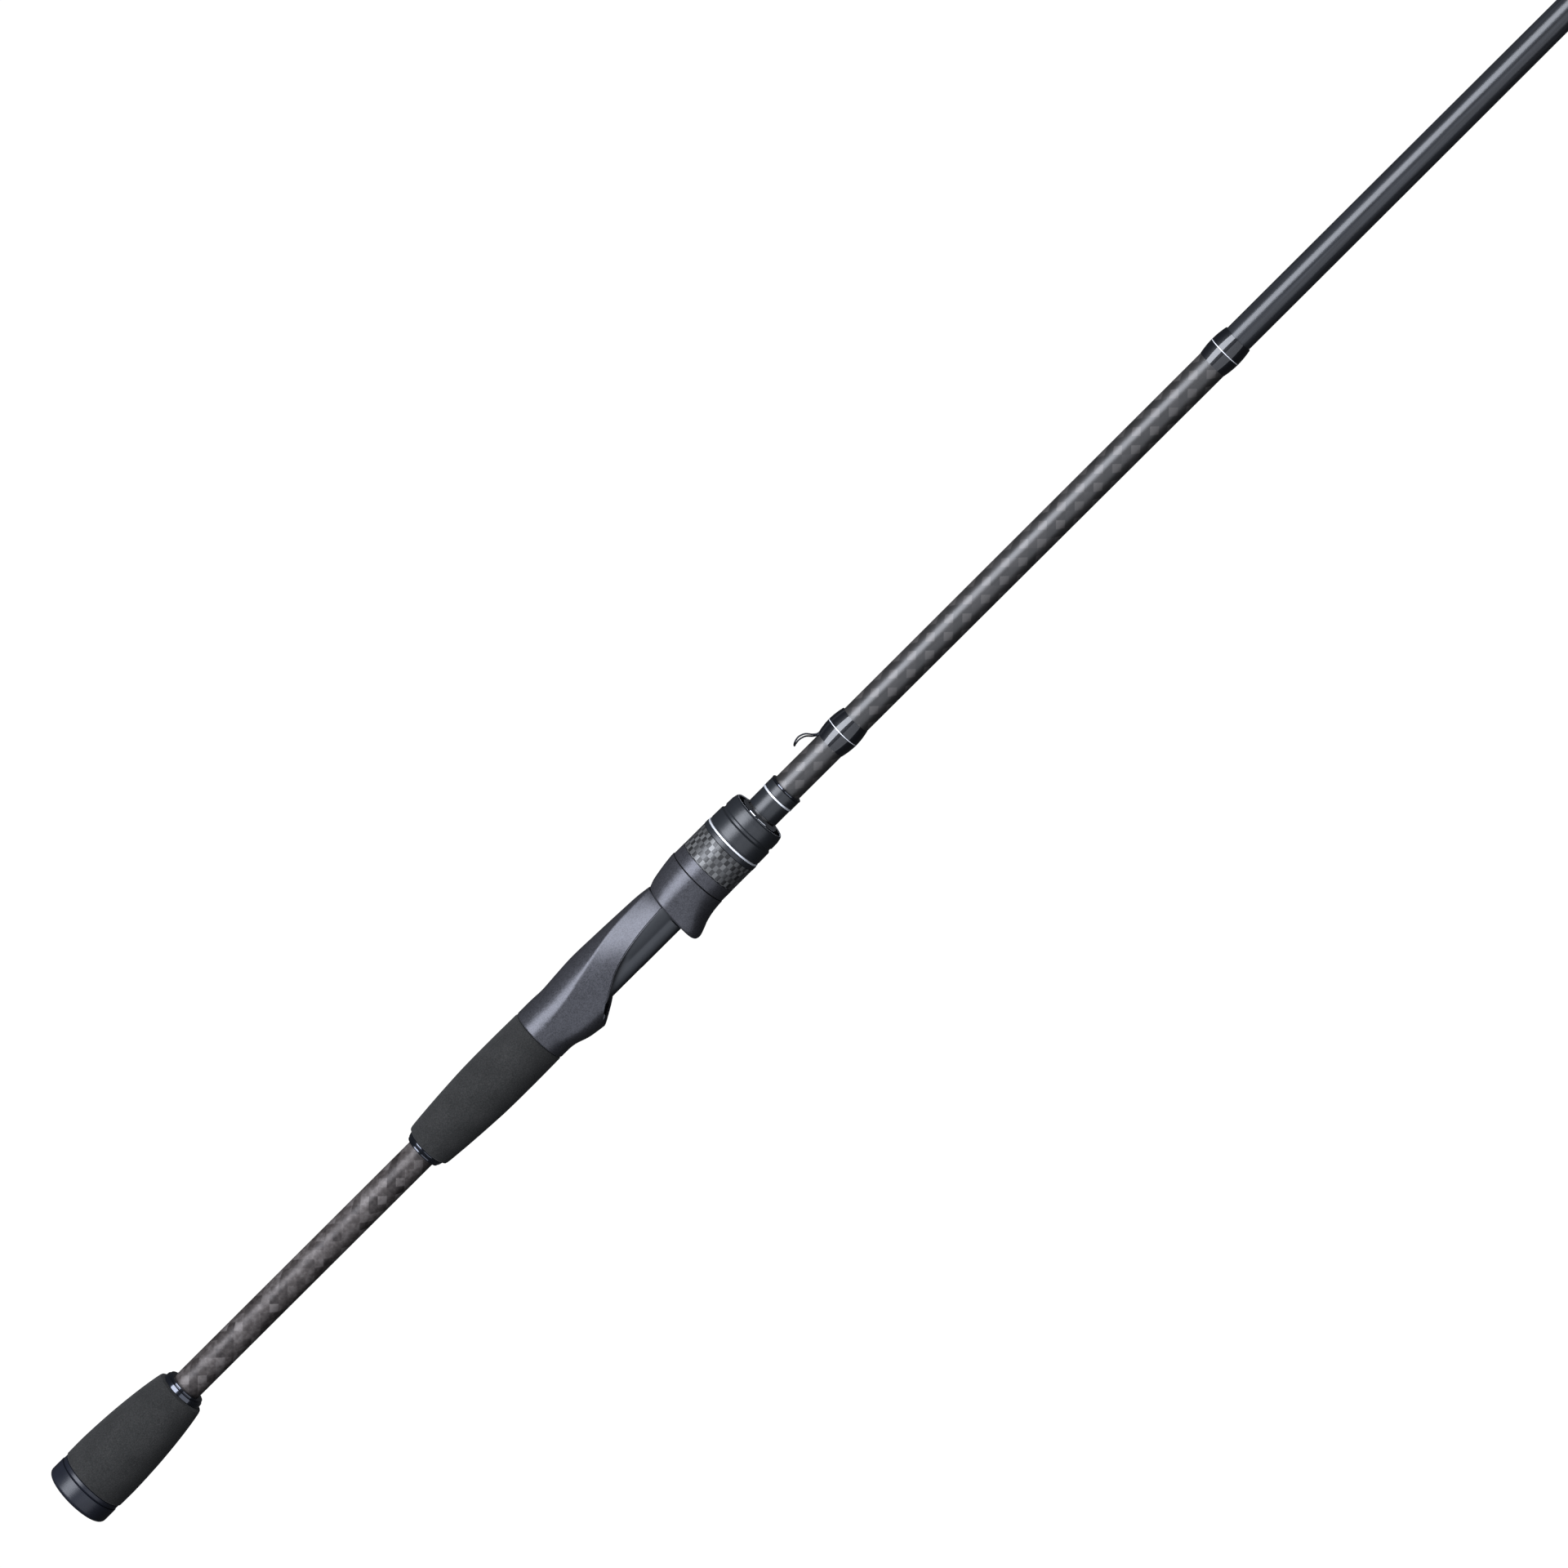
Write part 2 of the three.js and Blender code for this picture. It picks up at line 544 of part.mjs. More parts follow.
function makeKeeperWrap() {
  const inner = FORE_SLEEVE.radius + 0.09;
  const spreadAngle = THREE.MathUtils.degToRad(26);
  const towards = THREE.MathUtils.degToRad(KEEPER.tilt);
  const place = (name, geometry, look) => {
    add(name, bumped(geometry, KEEPER_WRAP.bump, towards, spreadAngle), look);
  };
  const wrap = turned(wrapProfile(KEEPER_WRAP, inner, 6.2, 6.85), BLANK_SIDES);
  place('keeper_wrap', wrap, FINISH.glossBlack);
  const x = KEEPER_WRAP.band + 0.04;
  place('keeper_wrap_band', turned([
    [x, 6.55], [x, 6.88], [x + 0.42, 6.88], [x + 0.42, 6.55],
  ], BLANK_SIDES), FINISH.metallicThread);
}

function makeUpperWrap() {
  const { start, end, band } = UPPER_WRAP;
  const outside = wrapProfile(UPPER_WRAP, 0, 6.22, 6.78).slice(1, -1);
  outside[outside.length - 1][1] = 5.95;
  const shoulder = FORE_SLEEVE.end + 0.15;
  add('upper_wrap', turned([
    [start, FORE_SLEEVE.endRadius + 0.04], ...outside, [end, BLANK.butt + BOND_GAP],
    [shoulder, BLANK.butt + BOND_GAP], [shoulder, FORE_SLEEVE.endRadius + 0.04],
  ], BLANK_SIDES), FINISH.glossBlack);
  const x = band + 0.04;
  add('upper_wrap_band', turned([
    [x, 6.48], [x, 6.81], [x + 0.42, 6.81], [x + 0.42, 6.48],
  ], BLANK_SIDES), FINISH.metallicThread);
}

// ---- guides -------------------------------------------------------------------------------
// Each guide is built under the blank with its ring's centre at [0, 0, -drop] and then moved to
// its place. Its legs are bars that end inside the ring's rim and on a foot.
function footPlate(x0, x1, width, level) {
  const shape = new THREE.Shape();
  shape.moveTo(x0, -width / 2);
  shape.lineTo(x1, -width / 4);
  shape.lineTo(x1, width / 4);
  shape.lineTo(x0, width / 2);
  const g = new THREE.ExtrudeGeometry(shape, { depth: FOOT.thickness, bevelEnabled: false });
  g.translate(0, 0, level - FOOT.thickness);
  return g;
}

function ringSides(radius) {
  return radius > 6 ? 20 : 14;
}

function guideWire(guide) {
  return Math.min(0.65, 0.3 + guide.ring * 0.035);
}

// How far the legs stand from the ring along the blank.
function guideReach(guide) {
  return guide.height * 0.62;
}

function ringRim(radius, thickness, sides) {
  const rim = radius + 0.06;
  const half = thickness / 2;
  const wide = rim + Math.max(0.55, radius * 0.08);
  const g = turned([[-half, rim], [-half, wide], [half, wide], [half, rim]], sides);
  g.rotateY(-THREE.MathUtils.degToRad(GUIDE_TILT));
  return g;
}

function leg(points, radius) {
  return bar(points, polygon(radius, 5), points.length);
}

function guideFrame(guide, surface) {
  const { ring: radius, height, foot, feet } = guide;
  const drop = surface + height;
  const level = -surface - 0.08;
  const wire = guideWire(guide);
  const width = Math.min(2.6, 0.9 + surface * 0.35);
  const sides = ringSides(radius);
  const rim = ringRim(radius, 2 * wire + 0.4, sides).translate(0, 0, -drop);
  const flank = radius + wire + 0.12;
  const reach = guideReach(guide);
  const parts = [rim, footPlate(-reach + 0.6, -reach - foot, width, level)];
  for (const side of [1, -1]) {
    parts.push(leg([
      [-reach, side * width * 0.22, level - wire],
      [-reach * 0.62, side * flank * 0.6, level - height * 0.4],
      [-reach * 0.28, side * flank, level - height * 0.78],
      [0, side * flank, -drop],
    ], wire));
  }
  if (feet === 2) {
    parts.push(footPlate(reach - 0.6, reach + foot, width, level));
    parts.push(leg([
      [reach, 0, level - wire],
      [reach * 0.5, 0, level - (height - radius) * 0.4],
      [Math.tan(THREE.MathUtils.degToRad(GUIDE_TILT)) * -flank * 0.9, 0, -drop + flank],
    ], wire));
  }
  return join(...parts);
}

// The wrap lies on the blank and rises over the foot, which slides in from its end.
function guideWrap(name, x0, x1) {
  const radius = blankRadius(x0);
  const end = blankRadius(x1);
  const coat = 0.3 + radius * 0.03;
  const g = turned([
    [x0, radius + 0.05], [x0, radius + coat], [x1, end + coat], [x1, end + 0.05],
  ], BLANK_SIDES);
  add(name, bumped(g, FOOT.thickness + 0.4, Math.PI, FOOT.coverAngle), FINISH.glossBlack);
}

function makeGuides() {
  GUIDES.forEach((guide, index) => {
    const name = `guide_${index + 1}`;
    const surface = blankRadius(guide.x);
    const reach = guideReach(guide);
    const frame = add(`${name}_frame`, guideFrame(guide, surface), FINISH.blackMetal);
    frame.position.x = guide.x;
    const half = guideWire(guide) + 0.4;
    const inner = guide.hole;
    const core = turned([
      [-half, inner + 0.3], [-half, guide.ring], [half, guide.ring], [half, inner + 0.3], [0, inner],
    ], ringSides(guide.ring));
    const ceramic = add(`${name}_ring`, core, FINISH.ceramic);
    ceramic.rotation.y = -THREE.MathUtils.degToRad(GUIDE_TILT);
    ceramic.position.set(guide.x, 0, -surface - guide.height);
    const from = guide.x - reach - guide.foot - 1.2;
    guideWrap(`${name}_wrap${guide.feet === 2 ? '_rear' : ''}`, from, guide.x - reach - 1.6);
    if (guide.feet === 2) {
      const far = guide.x + reach + guide.foot + 1.2;
      guideWrap(`${name}_wrap_front`, guide.x + reach + 1.6, far);
    }
  });
}

function makeTipTop() {
  const t = TIP_TOP;
  const inner = blankRadius(t.start) + 0.1;
  const tube = turned([
    [t.start, inner], [t.start, inner + t.wall], [t.tubeEnd, inner + t.wall], [t.tubeEnd, 0],
    [t.tubeEnd - 0.5, 0], [t.tubeEnd - 0.5, inner],
  ].reverse(), BLANK_SIDES);
  const rim = ringRim(t.ring, 1.1, ringSides(t.ring)).translate(t.x, 0, -t.drop);
  const flank = t.ring + t.wire + 0.12;
  const legs = [1, -1].map((side) => leg([
    [t.tubeEnd - 5, side * 1.35, -0.95], [t.tubeEnd - 1, side * flank * 0.85, -1.9],
    [t.x - 1.2, side * flank, -t.drop + 0.4], [t.x, side * flank, -t.drop],
  ], t.wire));
  const neck = leg([
    [t.tubeEnd - 0.2, 0, -0.6], [t.tubeEnd + 0.9, 0, -0.5], [t.x - 0.7, 0, -t.drop + flank],
  ], t.wire);
  add('tip_top_frame', join(tube, rim, neck, ...legs), FINISH.blackMetal);
  const ceramic = add('tip_top_ring', turned([
    [-0.8, t.hole + 0.3], [-0.8, t.ring], [0.8, t.ring], [0.8, t.hole + 0.3], [0, t.hole],
  ], ringSides(t.ring)), FINISH.ceramic);
  ceramic.rotation.y = -THREE.MathUtils.degToRad(GUIDE_TILT);
  ceramic.position.set(t.x, 0, -t.drop);
  const from = t.start - 6;
  const under = blankRadius(from);
  const wrap = ring(from, t.start - STACK_GAP, under + 0.05, under + 0.4, BLANK_SIDES);
  add('tip_top_wrap', wrap, FINISH.glossBlack);
}

makeBlank();
makeSleeves();
makeButt();
makeGrips();
makeChecks();
makeSeatBody();
makeFixedLiner();
makeArbors();
makeMovingHood();
makeMovingLiner();
makeClipRing();
makeLockNut();
makeForeTrim();
makeKeeper();
makeKeeperWrap();
makeUpperWrap();
makeGuides();
makeTipTop();

export default rod;
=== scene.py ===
import math

import bmesh
import bpy
import numpy as np
from mathutils import Matrix, Vector


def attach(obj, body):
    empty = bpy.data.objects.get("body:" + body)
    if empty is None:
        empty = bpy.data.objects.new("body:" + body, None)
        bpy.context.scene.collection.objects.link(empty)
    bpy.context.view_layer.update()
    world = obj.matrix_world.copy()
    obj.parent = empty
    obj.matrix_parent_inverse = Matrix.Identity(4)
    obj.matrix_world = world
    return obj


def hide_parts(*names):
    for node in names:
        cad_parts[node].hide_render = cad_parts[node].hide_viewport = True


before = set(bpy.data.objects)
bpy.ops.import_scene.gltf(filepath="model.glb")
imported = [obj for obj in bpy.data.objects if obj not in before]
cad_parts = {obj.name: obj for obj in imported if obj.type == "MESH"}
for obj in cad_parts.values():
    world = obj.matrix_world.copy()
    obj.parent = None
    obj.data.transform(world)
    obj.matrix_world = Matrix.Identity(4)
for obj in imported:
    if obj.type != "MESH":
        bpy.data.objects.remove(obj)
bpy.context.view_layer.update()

# Spinning rod with an empty reel seat. Sizes are in millimetres and become metres in piece().
# +X runs from butt to tip, +Z is the side of the hook keeper and -Z the side of the guides.
MM = 0.001
TURN = 2 * math.pi
AROUND = 144  # columns around a handle piece
BLANK_AROUND = 96
WIRE_AROUND = 14


# ---- finishes -----------------------------------------------------------------------------
def colour(code):
    """The linear colour of an sRGB hex code."""
    s = np.array([int(code[i:i + 2], 16) for i in (1, 3, 5)]) / 255
    linear = np.where(s <= 0.04045, s / 12.92, ((s + 0.055) / 1.055) ** 2.4)
    return (*linear.tolist(), 1.0)


def add(tree, kind, inputs=None, **settings):
    """Adds a node, sets it up, and gives each input a number, a colour or another node's output."""
    made = tree.nodes.new("ShaderNode" + kind)
    for key, value in settings.items():
        setattr(made, key, value)
    for key, value in (inputs or {}).items():
        if isinstance(value, bpy.types.NodeSocket):
            tree.links.new(value, made.inputs[key])
        else:
            made.inputs[key].default_value = value
    return made


def finish(name, **sockets):
    """A material with one Principled shader. Returns it, its nodes, and the shader."""
    made = bpy.data.materials.new(name)
    made.use_nodes = True
    tree = made.node_tree
    shader = tree.nodes["Principled BSDF"]
    for key, value in sockets.items():
        shader.inputs[key.replace("_", " ")].default_value = value
    return made, tree, shader


def feed(tree, shader, **sources):
    """Links outputs to the shader's inputs by name."""
    for key, source in sources.items():
        tree.links.new(source, shader.inputs[key.replace("_", " ")])


def place(tree):
    """Position on the object, its split into x, y and z, and the angle round the rod."""
    spot = add(tree, "TexCoord").outputs["Object"]
    xyz = add(tree, "SeparateXYZ", {0: spot})
    angle = add(tree, "Math", {0: xyz.outputs["Y"], 1: xyz.outputs["Z"]}, operation="ARCTAN2")
    return spot, xyz, angle.outputs[0]


def ramp(tree, factor, *stops):
    """A colour ramp from (position, hex colour) stops."""
    made = add(tree, "ValToRGB", {"Fac": factor})
    band = made.color_ramp
    while len(band.elements) < len(stops):
        band.elements.new(0.5)
    for element, (position, code) in zip(band.elements, stops):
        element.position = position
        element.color = colour(code)
    return made.outputs["Color"]


def range_of(tree, value, low, high, from_low=0.0, from_high=1.0):
    """value moved from one range into another."""
    return add(tree, "MapRange", {
        "Value": value, "From Min": from_low, "From Max": from_high, "To Min": low, "To Max": high,
    }).outputs["Result"]


def bump(tree, height, strength, depth_mm):
    """A normal that follows height, given as a share of depth."""
    return add(tree, "Bump", {
        "Height": height, "Strength": strength, "Distance": depth_mm * MM,
    }).outputs["Normal"]


def eva_foam():
    """Ground EVA foam: dead matte, with a fine open grain of 0.5 mm and faint darker clouds."""
    made, tree, shader = finish("ground_eva_foam", Roughness=0.92, Sheen_Weight=0.04,
                                Sheen_Roughness=0.6, Specular_IOR_Level=0.10)
    spot, _, _ = place(tree)
    grain = add(tree, "TexNoise", {"Vector": spot, "Scale": 1 / (0.55 * MM), "Detail": 3.0,
                                   "Roughness": 0.65}).outputs["Fac"]
    clouds = add(tree, "TexNoise", {"Vector": spot, "Scale": 1 / (9 * MM), "Detail": 2.0}).outputs["Fac"]
    cells = add(tree, "TexVoronoi", {"Vector": spot, "Scale": 1 / (0.42 * MM)}).outputs["Distance"]
    both = add(tree, "Math", {0: clouds, 1: 0.35, 2: grain}, operation="MULTIPLY_ADD").outputs[0]
    tone = ramp(tree, range_of(tree, both, 0, 1, 0.4, 0.95), (0.0, "#191918"), (0.5, "#242423"),
                (1.0, "#302f2e"))
    pores = add(tree, "Math", {0: grain, 1: cells}, operation="ADD").outputs[0]
    feed(tree, shader, Base_Color=tone, Normal=bump(tree, pores, 0.55, 0.10))
    return made


def weave(tree, around, pitch_mm, slanted, shift=0.0):
    """Tow weave, with cells counted round the rod and along it. Square cells take turns as on a
    chess board; of slanted cells one in four is light, so it stands alone as a diamond. Returns
    which cells are light, the round backs of the tows with their fibres, and a tone per cell."""
    _, xyz, angle = place(tree)
    u = add(tree, "Math", {0: angle, 1: around / TURN}, operation="MULTIPLY").outputs[0]
    v = add(tree, "Math", {0: xyz.outputs["X"], 1: 1 / (pitch_mm * MM), 2: shift},
            operation="MULTIPLY_ADD").outputs[0]
    p, q = u, v
    if slanted:
        p = add(tree, "Math", {0: u, 1: v}, operation="ADD").outputs[0]
        q = add(tree, "Math", {0: u, 1: v}, operation="SUBTRACT").outputs[0]
    rounds, cells, odd = [], [], []
    for across in (p, q):
        wave = add(tree, "Math", {0: across, 1: math.pi}, operation="MULTIPLY").outputs[0]
        wave = add(tree, "Math", {0: wave}, operation="SINE").outputs[0]
        back = add(tree, "Math", {0: wave}, operation="ABSOLUTE").outputs[0]
        fibre = add(tree, "Math", {0: across, 1: TURN * 6}, operation="MULTIPLY").outputs[0]
        fibre = add(tree, "Math", {0: fibre}, operation="SINE").outputs[0]
        back = add(tree, "Math", {0: fibre, 1: 0.12, 2: back}, operation="MULTIPLY_ADD").outputs[0]
        rounds.append(back)
        cells.append(add(tree, "Math", {0: across}, operation="FLOOR").outputs[0])
        odd.append(add(tree, "Math", {0: cells[-1], 1: 2.0}, operation="FLOORED_MODULO").outputs[0])
    chosen = add(tree, "Math", {0: odd[0], 1: odd[1]}, operation="MULTIPLY" if slanted else "SUBTRACT")
    light = add(tree, "Math", {0: chosen.outputs[0]}, operation="ABSOLUTE").outputs[0]
    height = add(tree, "Mix", {"Factor": light, "A": rounds[0], "B": rounds[1]}).outputs["Result"]
    row = add(tree, "Math", {0: cells[0], 1: float(around)}, operation="FLOORED_MODULO").outputs[0]
    along = cells[1]
    if slanted:
        along = add(tree, "Math", {0: cells[0], 1: cells[1]}, operation="SUBTRACT").outputs[0]
    own = add(tree, "CombineXYZ", {0: row, 1: along}).outputs[0]
    return light, height, add(tree, "TexWhiteNoise", {"Vector": own}).outputs["Value"]


def rear_carbon():
    """Woven carbon under a matte coat: slanted tows, smoky brown-grey, with soft light clouds."""
    made, tree, shader = finish("matte_woven_carbon", Metallic=0.3, Specular_IOR_Level=0.3)
    light, height, own = weave(tree, 8, 4.93, True)
    spot, _, _ = place(tree)
    smoke = add(tree, "TexNoise", {"Vector": spot, "Scale": 1 / (1.6 * MM), "Detail": 3.0}).outputs["Fac"]
    mixed = add(tree, "Math", {0: own, 1: 0.5, 2: smoke}, operation="MULTIPLY_ADD").outputs[0]
    lifted = add(tree, "Math", {0: light, 1: 0.25, 2: mixed}, operation="MULTIPLY_ADD").outputs[0]
    tone = ramp(tree, range_of(tree, lifted, 0, 1, 0.4, 1.25), (0.0, "#292524"), (0.5, "#413c3a"),
                (1.0, "#5c5755"))
    feed(tree, shader, Base_Color=tone, Roughness=range_of(tree, own, 0.38, 0.50),
         Normal=bump(tree, height, 0.15, 0.08))
    return made


def fore_carbon():
    """Woven carbon under clear satin: tows at 45 degrees whose light crossings stand as diamonds,
    5 mm long and one every 10 mm."""
    made, tree, shader = finish("diamond_woven_carbon", Metallic=0.3, Coat_Weight=0.7,
                                Coat_Roughness=0.34, Specular_IOR_Level=0.4)
    light, height, own = weave(tree, 8, 4.93, True, 0.35)
    mixed = add(tree, "Math", {0: own, 1: 0.3, 2: light}, operation="MULTIPLY_ADD").outputs[0]
    tone = ramp(tree, range_of(tree, mixed, 0, 1, 0.0, 1.3), (0.0, "#2b2a29"), (0.25, "#373534"),
                (1.0, "#4a4745"))
    feed(tree, shader, Base_Color=tone, Roughness=range_of(tree, own, 0.38, 0.48),
         Normal=bump(tree, height, 0.12, 0.10))
    return made


def nut_carbon():
    """Fine carbon cloth under clear lacquer: 2 mm checks square to the rod."""
    made, tree, shader = finish("check_woven_carbon", Roughness=0.34, Metallic=0.35,
                                Specular_IOR_Level=0.35)
    over, height, own = weave(tree, 48, 2.16, False)
    mixed = add(tree, "Math", {0: over, 1: 1.1, 2: own}, operation="MULTIPLY_ADD").outputs[0]
    tone = ramp(tree, range_of(tree, mixed, 0, 1, 0.0, 2.1), (0.0, "#262626"), (0.5, "#424242"),
                (1.0, "#686867"))
    feed(tree, shader, Base_Color=tone, Normal=bump(tree, height, 0.25, 0.10))
    return made


def seat_paint():
    """Satin metallic paint on moulded nylon: blue-grey, a broad soft highlight, the faintest flake."""
    made, tree, shader = finish("satin_metallic_paint", Metallic=0.6, Specular_IOR_Level=0.3)
    spot, _, _ = place(tree)
    flake = add(tree, "TexVoronoi", {"Vector": spot, "Scale": 1 / (0.30 * MM)}).outputs["Color"]
    flake = add(tree, "SeparateColor", {0: flake}).outputs[0]
    cloud = add(tree, "TexNoise", {"Vector": spot, "Scale": 1 / (3.5 * MM), "Detail": 2.0}).outputs["Fac"]
    both = add(tree, "Math", {0: cloud, 1: 0.4, 2: flake}, operation="MULTIPLY_ADD").outputs[0]
    tone = ramp(tree, both, (0.2, "#39393c"), (1.0, "#4a4a4e"))
    rough = range_of(tree, flake, 0.31, 0.39)
    feed(tree, shader, Base_Color=tone, Roughness=rough, Normal=bump(tree, flake, 0.10, 0.02))
    return made


def moulded(name, code, roughness, grain_mm, depth_mm, **sockets):
    """Moulded plastic: one colour with a slight cloudiness and the fine grain of its mould."""
    made, tree, shader = finish(name, Roughness=roughness, **sockets)
    spot, _, _ = place(tree)
    grain = add(tree, "TexNoise", {"Vector": spot, "Scale": 1 / (grain_mm * MM),
                                   "Detail": 2.0}).outputs["Fac"]
    cloud = add(tree, "TexNoise", {"Vector": spot, "Scale": 1 / (6 * MM), "Detail": 2.0}).outputs["Fac"]
    rgb = colour(code)
    tone = add(tree, "Mix", {"Factor": cloud, "A": tuple(0.8 * c for c in rgb[:3]) + (1,),
                             "B": tuple(min(1.2 * c, 1) for c in rgb[:3]) + (1,)}, data_type="RGBA")
    rough = range_of(tree, grain, roughness * 0.85, roughness * 1.15)
    feed(tree, shader, Base_Color=tone.outputs["Result"], Roughness=rough,
         Normal=bump(tree, grain, 0.3, depth_mm))
    return made


def polished_metal(name, code, roughness, lines_mm, metallic=1.0):
    """Turned and polished aluminium: bright, with the fine rings that the lathe leaves."""
    made, tree, shader = finish(name, Base_Color=colour(code), Metallic=metallic)
    _, xyz, _ = place(tree)
    rings = add(tree, "TexNoise", {"W": add(tree, "Math", {0: xyz.outputs["X"], 1: 1 / (lines_mm * MM)},
                                            operation="MULTIPLY").outputs[0], "Scale": 1.0},
                noise_dimensions="1D").outputs["Fac"]
    feed(tree, shader, Roughness=range_of(tree, rings, roughness * 0.7, roughness * 1.4),
         Normal=bump(tree, rings, 0.15, 0.02))
    return made


def epoxied_thread(name, code):
    """Black nylon thread under a thick coat of epoxy: mirror gloss, with the 0.35 mm turns of the
    thread just showing below it. The thread is drawn coarser than its 0.2 mm so that it shows."""
    made, tree, shader = finish(name, Roughness=0.45, Coat_Weight=1.0, Coat_Roughness=0.03,
                                Coat_IOR=1.55, Specular_IOR_Level=0.3)
    _, xyz, angle = place(tree)
    turn = add(tree, "Math", {0: angle, 1: 1 / TURN}, operation="MULTIPLY").outputs[0]
    lay = add(tree, "Math", {0: xyz.outputs["X"], 1: 1 / (0.35 * MM), 2: turn},
              operation="MULTIPLY_ADD").outputs[0]
    wave = add(tree, "Math", {0: add(tree, "Math", {0: lay, 1: TURN}, operation="MULTIPLY").outputs[0]},
               operation="SINE").outputs[0]
    ridge = range_of(tree, wave, 0, 1, -1, 1)
    # the thread's colour is half as bright in the grooves between its turns: painted shade
    rgb = colour(code)
    tone = add(tree, "Mix", {"Factor": ridge, "A": tuple(0.5 * c for c in rgb[:3]) + (1,), "B": rgb},
               data_type="RGBA").outputs["Result"]
    feed(tree, shader, Base_Color=tone, Normal=bump(tree, ridge, 0.5, 0.05))
    return made


def clear_coated_blank():
    """Unidirectional carbon under a satin clear coat: near black, with the slow spiral that the
    shrink tape leaves and a soft streak of fibres along it."""
    made, tree, shader = finish("coated_carbon_blank", Metallic=0.15, Coat_Weight=0.5,
                                Coat_Roughness=0.22, Specular_IOR_Level=0.3)
    _, xyz, angle = place(tree)
    turn = add(tree, "Math", {0: angle, 1: 1 / TURN}, operation="MULTIPLY").outputs[0]
    lay = add(tree, "Math", {0: xyz.outputs["X"], 1: 1 / (2.4 * MM), 2: turn},
              operation="MULTIPLY_ADD").outputs[0]
    tape = add(tree, "Math", {0: lay}, operation="FRACT").outputs[0]
    step = add(tree, "Math", {0: tape, 1: 0.5}, operation="SUBTRACT").outputs[0]
    step = add(tree, "Math", {0: step}, operation="ABSOLUTE").outputs[0]
    along = add(tree, "CombineXYZ", {
        0: add(tree, "Math", {0: xyz.outputs["X"], 1: 40.0}, operation="MULTIPLY").outputs[0],
        1: add(tree, "Math", {0: xyz.outputs["Y"], 1: 1400.0}, operation="MULTIPLY").outputs[0],
        2: add(tree, "Math", {0: xyz.outputs["Z"], 1: 1400.0}, operation="MULTIPLY").outputs[0],
    }).outputs[0]
    fibre = add(tree, "TexNoise", {"Vector": along, "Scale": 1.0, "Detail": 2.0}).outputs["Fac"]
    tone = ramp(tree, fibre, (0.3, "#1f2022"), (0.7, "#2b2d31"))
    feed(tree, shader, Base_Color=tone, Roughness=range_of(tree, fibre, 0.28, 0.36),
         Normal=bump(tree, step, 0.12, 0.02))
    return made


EVA = eva_foam()
REAR_CARBON = rear_carbon()
FORE_CARBON = fore_carbon()
NUT_CARBON = nut_carbon()
SEAT_PAINT = seat_paint()
BLANK_COAT = clear_coated_blank()
# navy plastic of the butt cap, moulded with a soft gloss: a broad blue-grey highlight
BUTT_GLOSS = moulded("gloss_navy_moulding", "#191b22", 0.36, 0.5, 0.01, Coat_Weight=0.12,
                     Coat_Roughness=0.22, Specular_IOR_Level=0.32)
# anodised and polished winding checks: dark navy mirror with bright edges
CHECK_GLOSS = moulded("gloss_navy_anodising", "#3c3f47", 0.18, 0.8, 0.004, Metallic=0.9,
                      Coat_Weight=0.8, Coat_Roughness=0.06)
# black plastic of the lock nut, moulded with a satin skin: a soft highlight with no sharp edge
NUT_SATIN = moulded("satin_black_moulding", "#1e2023", 0.36, 0.6, 0.008, Specular_IOR_Level=0.5)
# satin black trim tube in front of the nut
TRIM_SATIN = moulded("satin_black_trim", "#1e2023", 0.34, 0.5, 0.008, Specular_IOR_Level=0.5)
# glass-filled nylon inside the seat: dull and slightly speckled
INNER_NYLON = moulded("glass_filled_nylon", "#1f2124", 0.55, 0.35, 0.02, Specular_IOR_Level=0.35)
# pale plastic cushion in both hoods
LINER = moulded("pale_acetal_liner", "#a9adb4", 0.40, 0.6, 0.01)
# plated aluminium rings, left satin: an even pale line
BRIGHT = polished_metal("satin_plated_aluminium", "#e4e6ea", 0.38, 0.05, 0.55)
# polished chrome on the ring at the barrel's end: a small mirror
CHROME = polished_metal("polished_chrome", "#e6e8ec", 0.09, 0.05)
# black PVD on stainless wire: dark metal with a dull shine
GUIDE_STEEL = polished_metal("black_plated_steel", "#2a2b2f", 0.28, 0.08)
# ground and polished ceramic insert: hard black mirror
CERAMIC = moulded("polished_ceramic", "#101114", 0.08, 0.9, 0.002, Coat_Weight=1.0, Coat_Roughness=0.02)
WRAP = epoxied_thread("epoxied_black_thread", "#0b0d13")
# bright metallic thread under the same epoxy: one pale line round each wrap
SILVER_THREAD = polished_metal("epoxied_silver_thread", "#e8e9ec", 0.45, 0.07, 0.45)


# ---- shapes -------------------------------------------------------------------------------
def through(*table):
    """A smooth curve through (x, value) points: a cubic between each two, whose slope at a point
    is that of the line between its neighbours."""
    xs, values = np.array(table, float).T
    slopes = np.empty_like(xs)
    slopes[1:-1] = (values[2:] - values[:-2]) / (xs[2:] - xs[:-2])
    slopes[0] = (values[1] - values[0]) / (xs[1] - xs[0])
    slopes[-1] = (values[-1] - values[-2]) / (xs[-1] - xs[-2])

    def value(x):
        x = np.clip(x, xs[0], xs[-1])
        i = np.clip(np.searchsorted(xs, x, side="right") - 1, 0, len(xs) - 2)
        width = xs[i + 1] - xs[i]
        t = (x - xs[i]) / width
        return ((2 * t**3 - 3 * t**2 + 1) * values[i] + (t**3 - 2 * t**2 + t) * width * slopes[i]
                + (3 * t**2 - 2 * t**3) * values[i + 1] + (t**3 - t**2) * width * slopes[i + 1])

    return value


def smoothstep(x, low, high):
    """0 below low, 1 above high, and 3 t squared less 2 t cubed between them."""
    t = np.clip((x - low) / (high - low), 0, 1)
    return t * t * (3 - 2 * t)


def mix(a, b, t):
    """a at t = 0 and b at t = 1, in a straight line."""
    return a + (b - a) * t


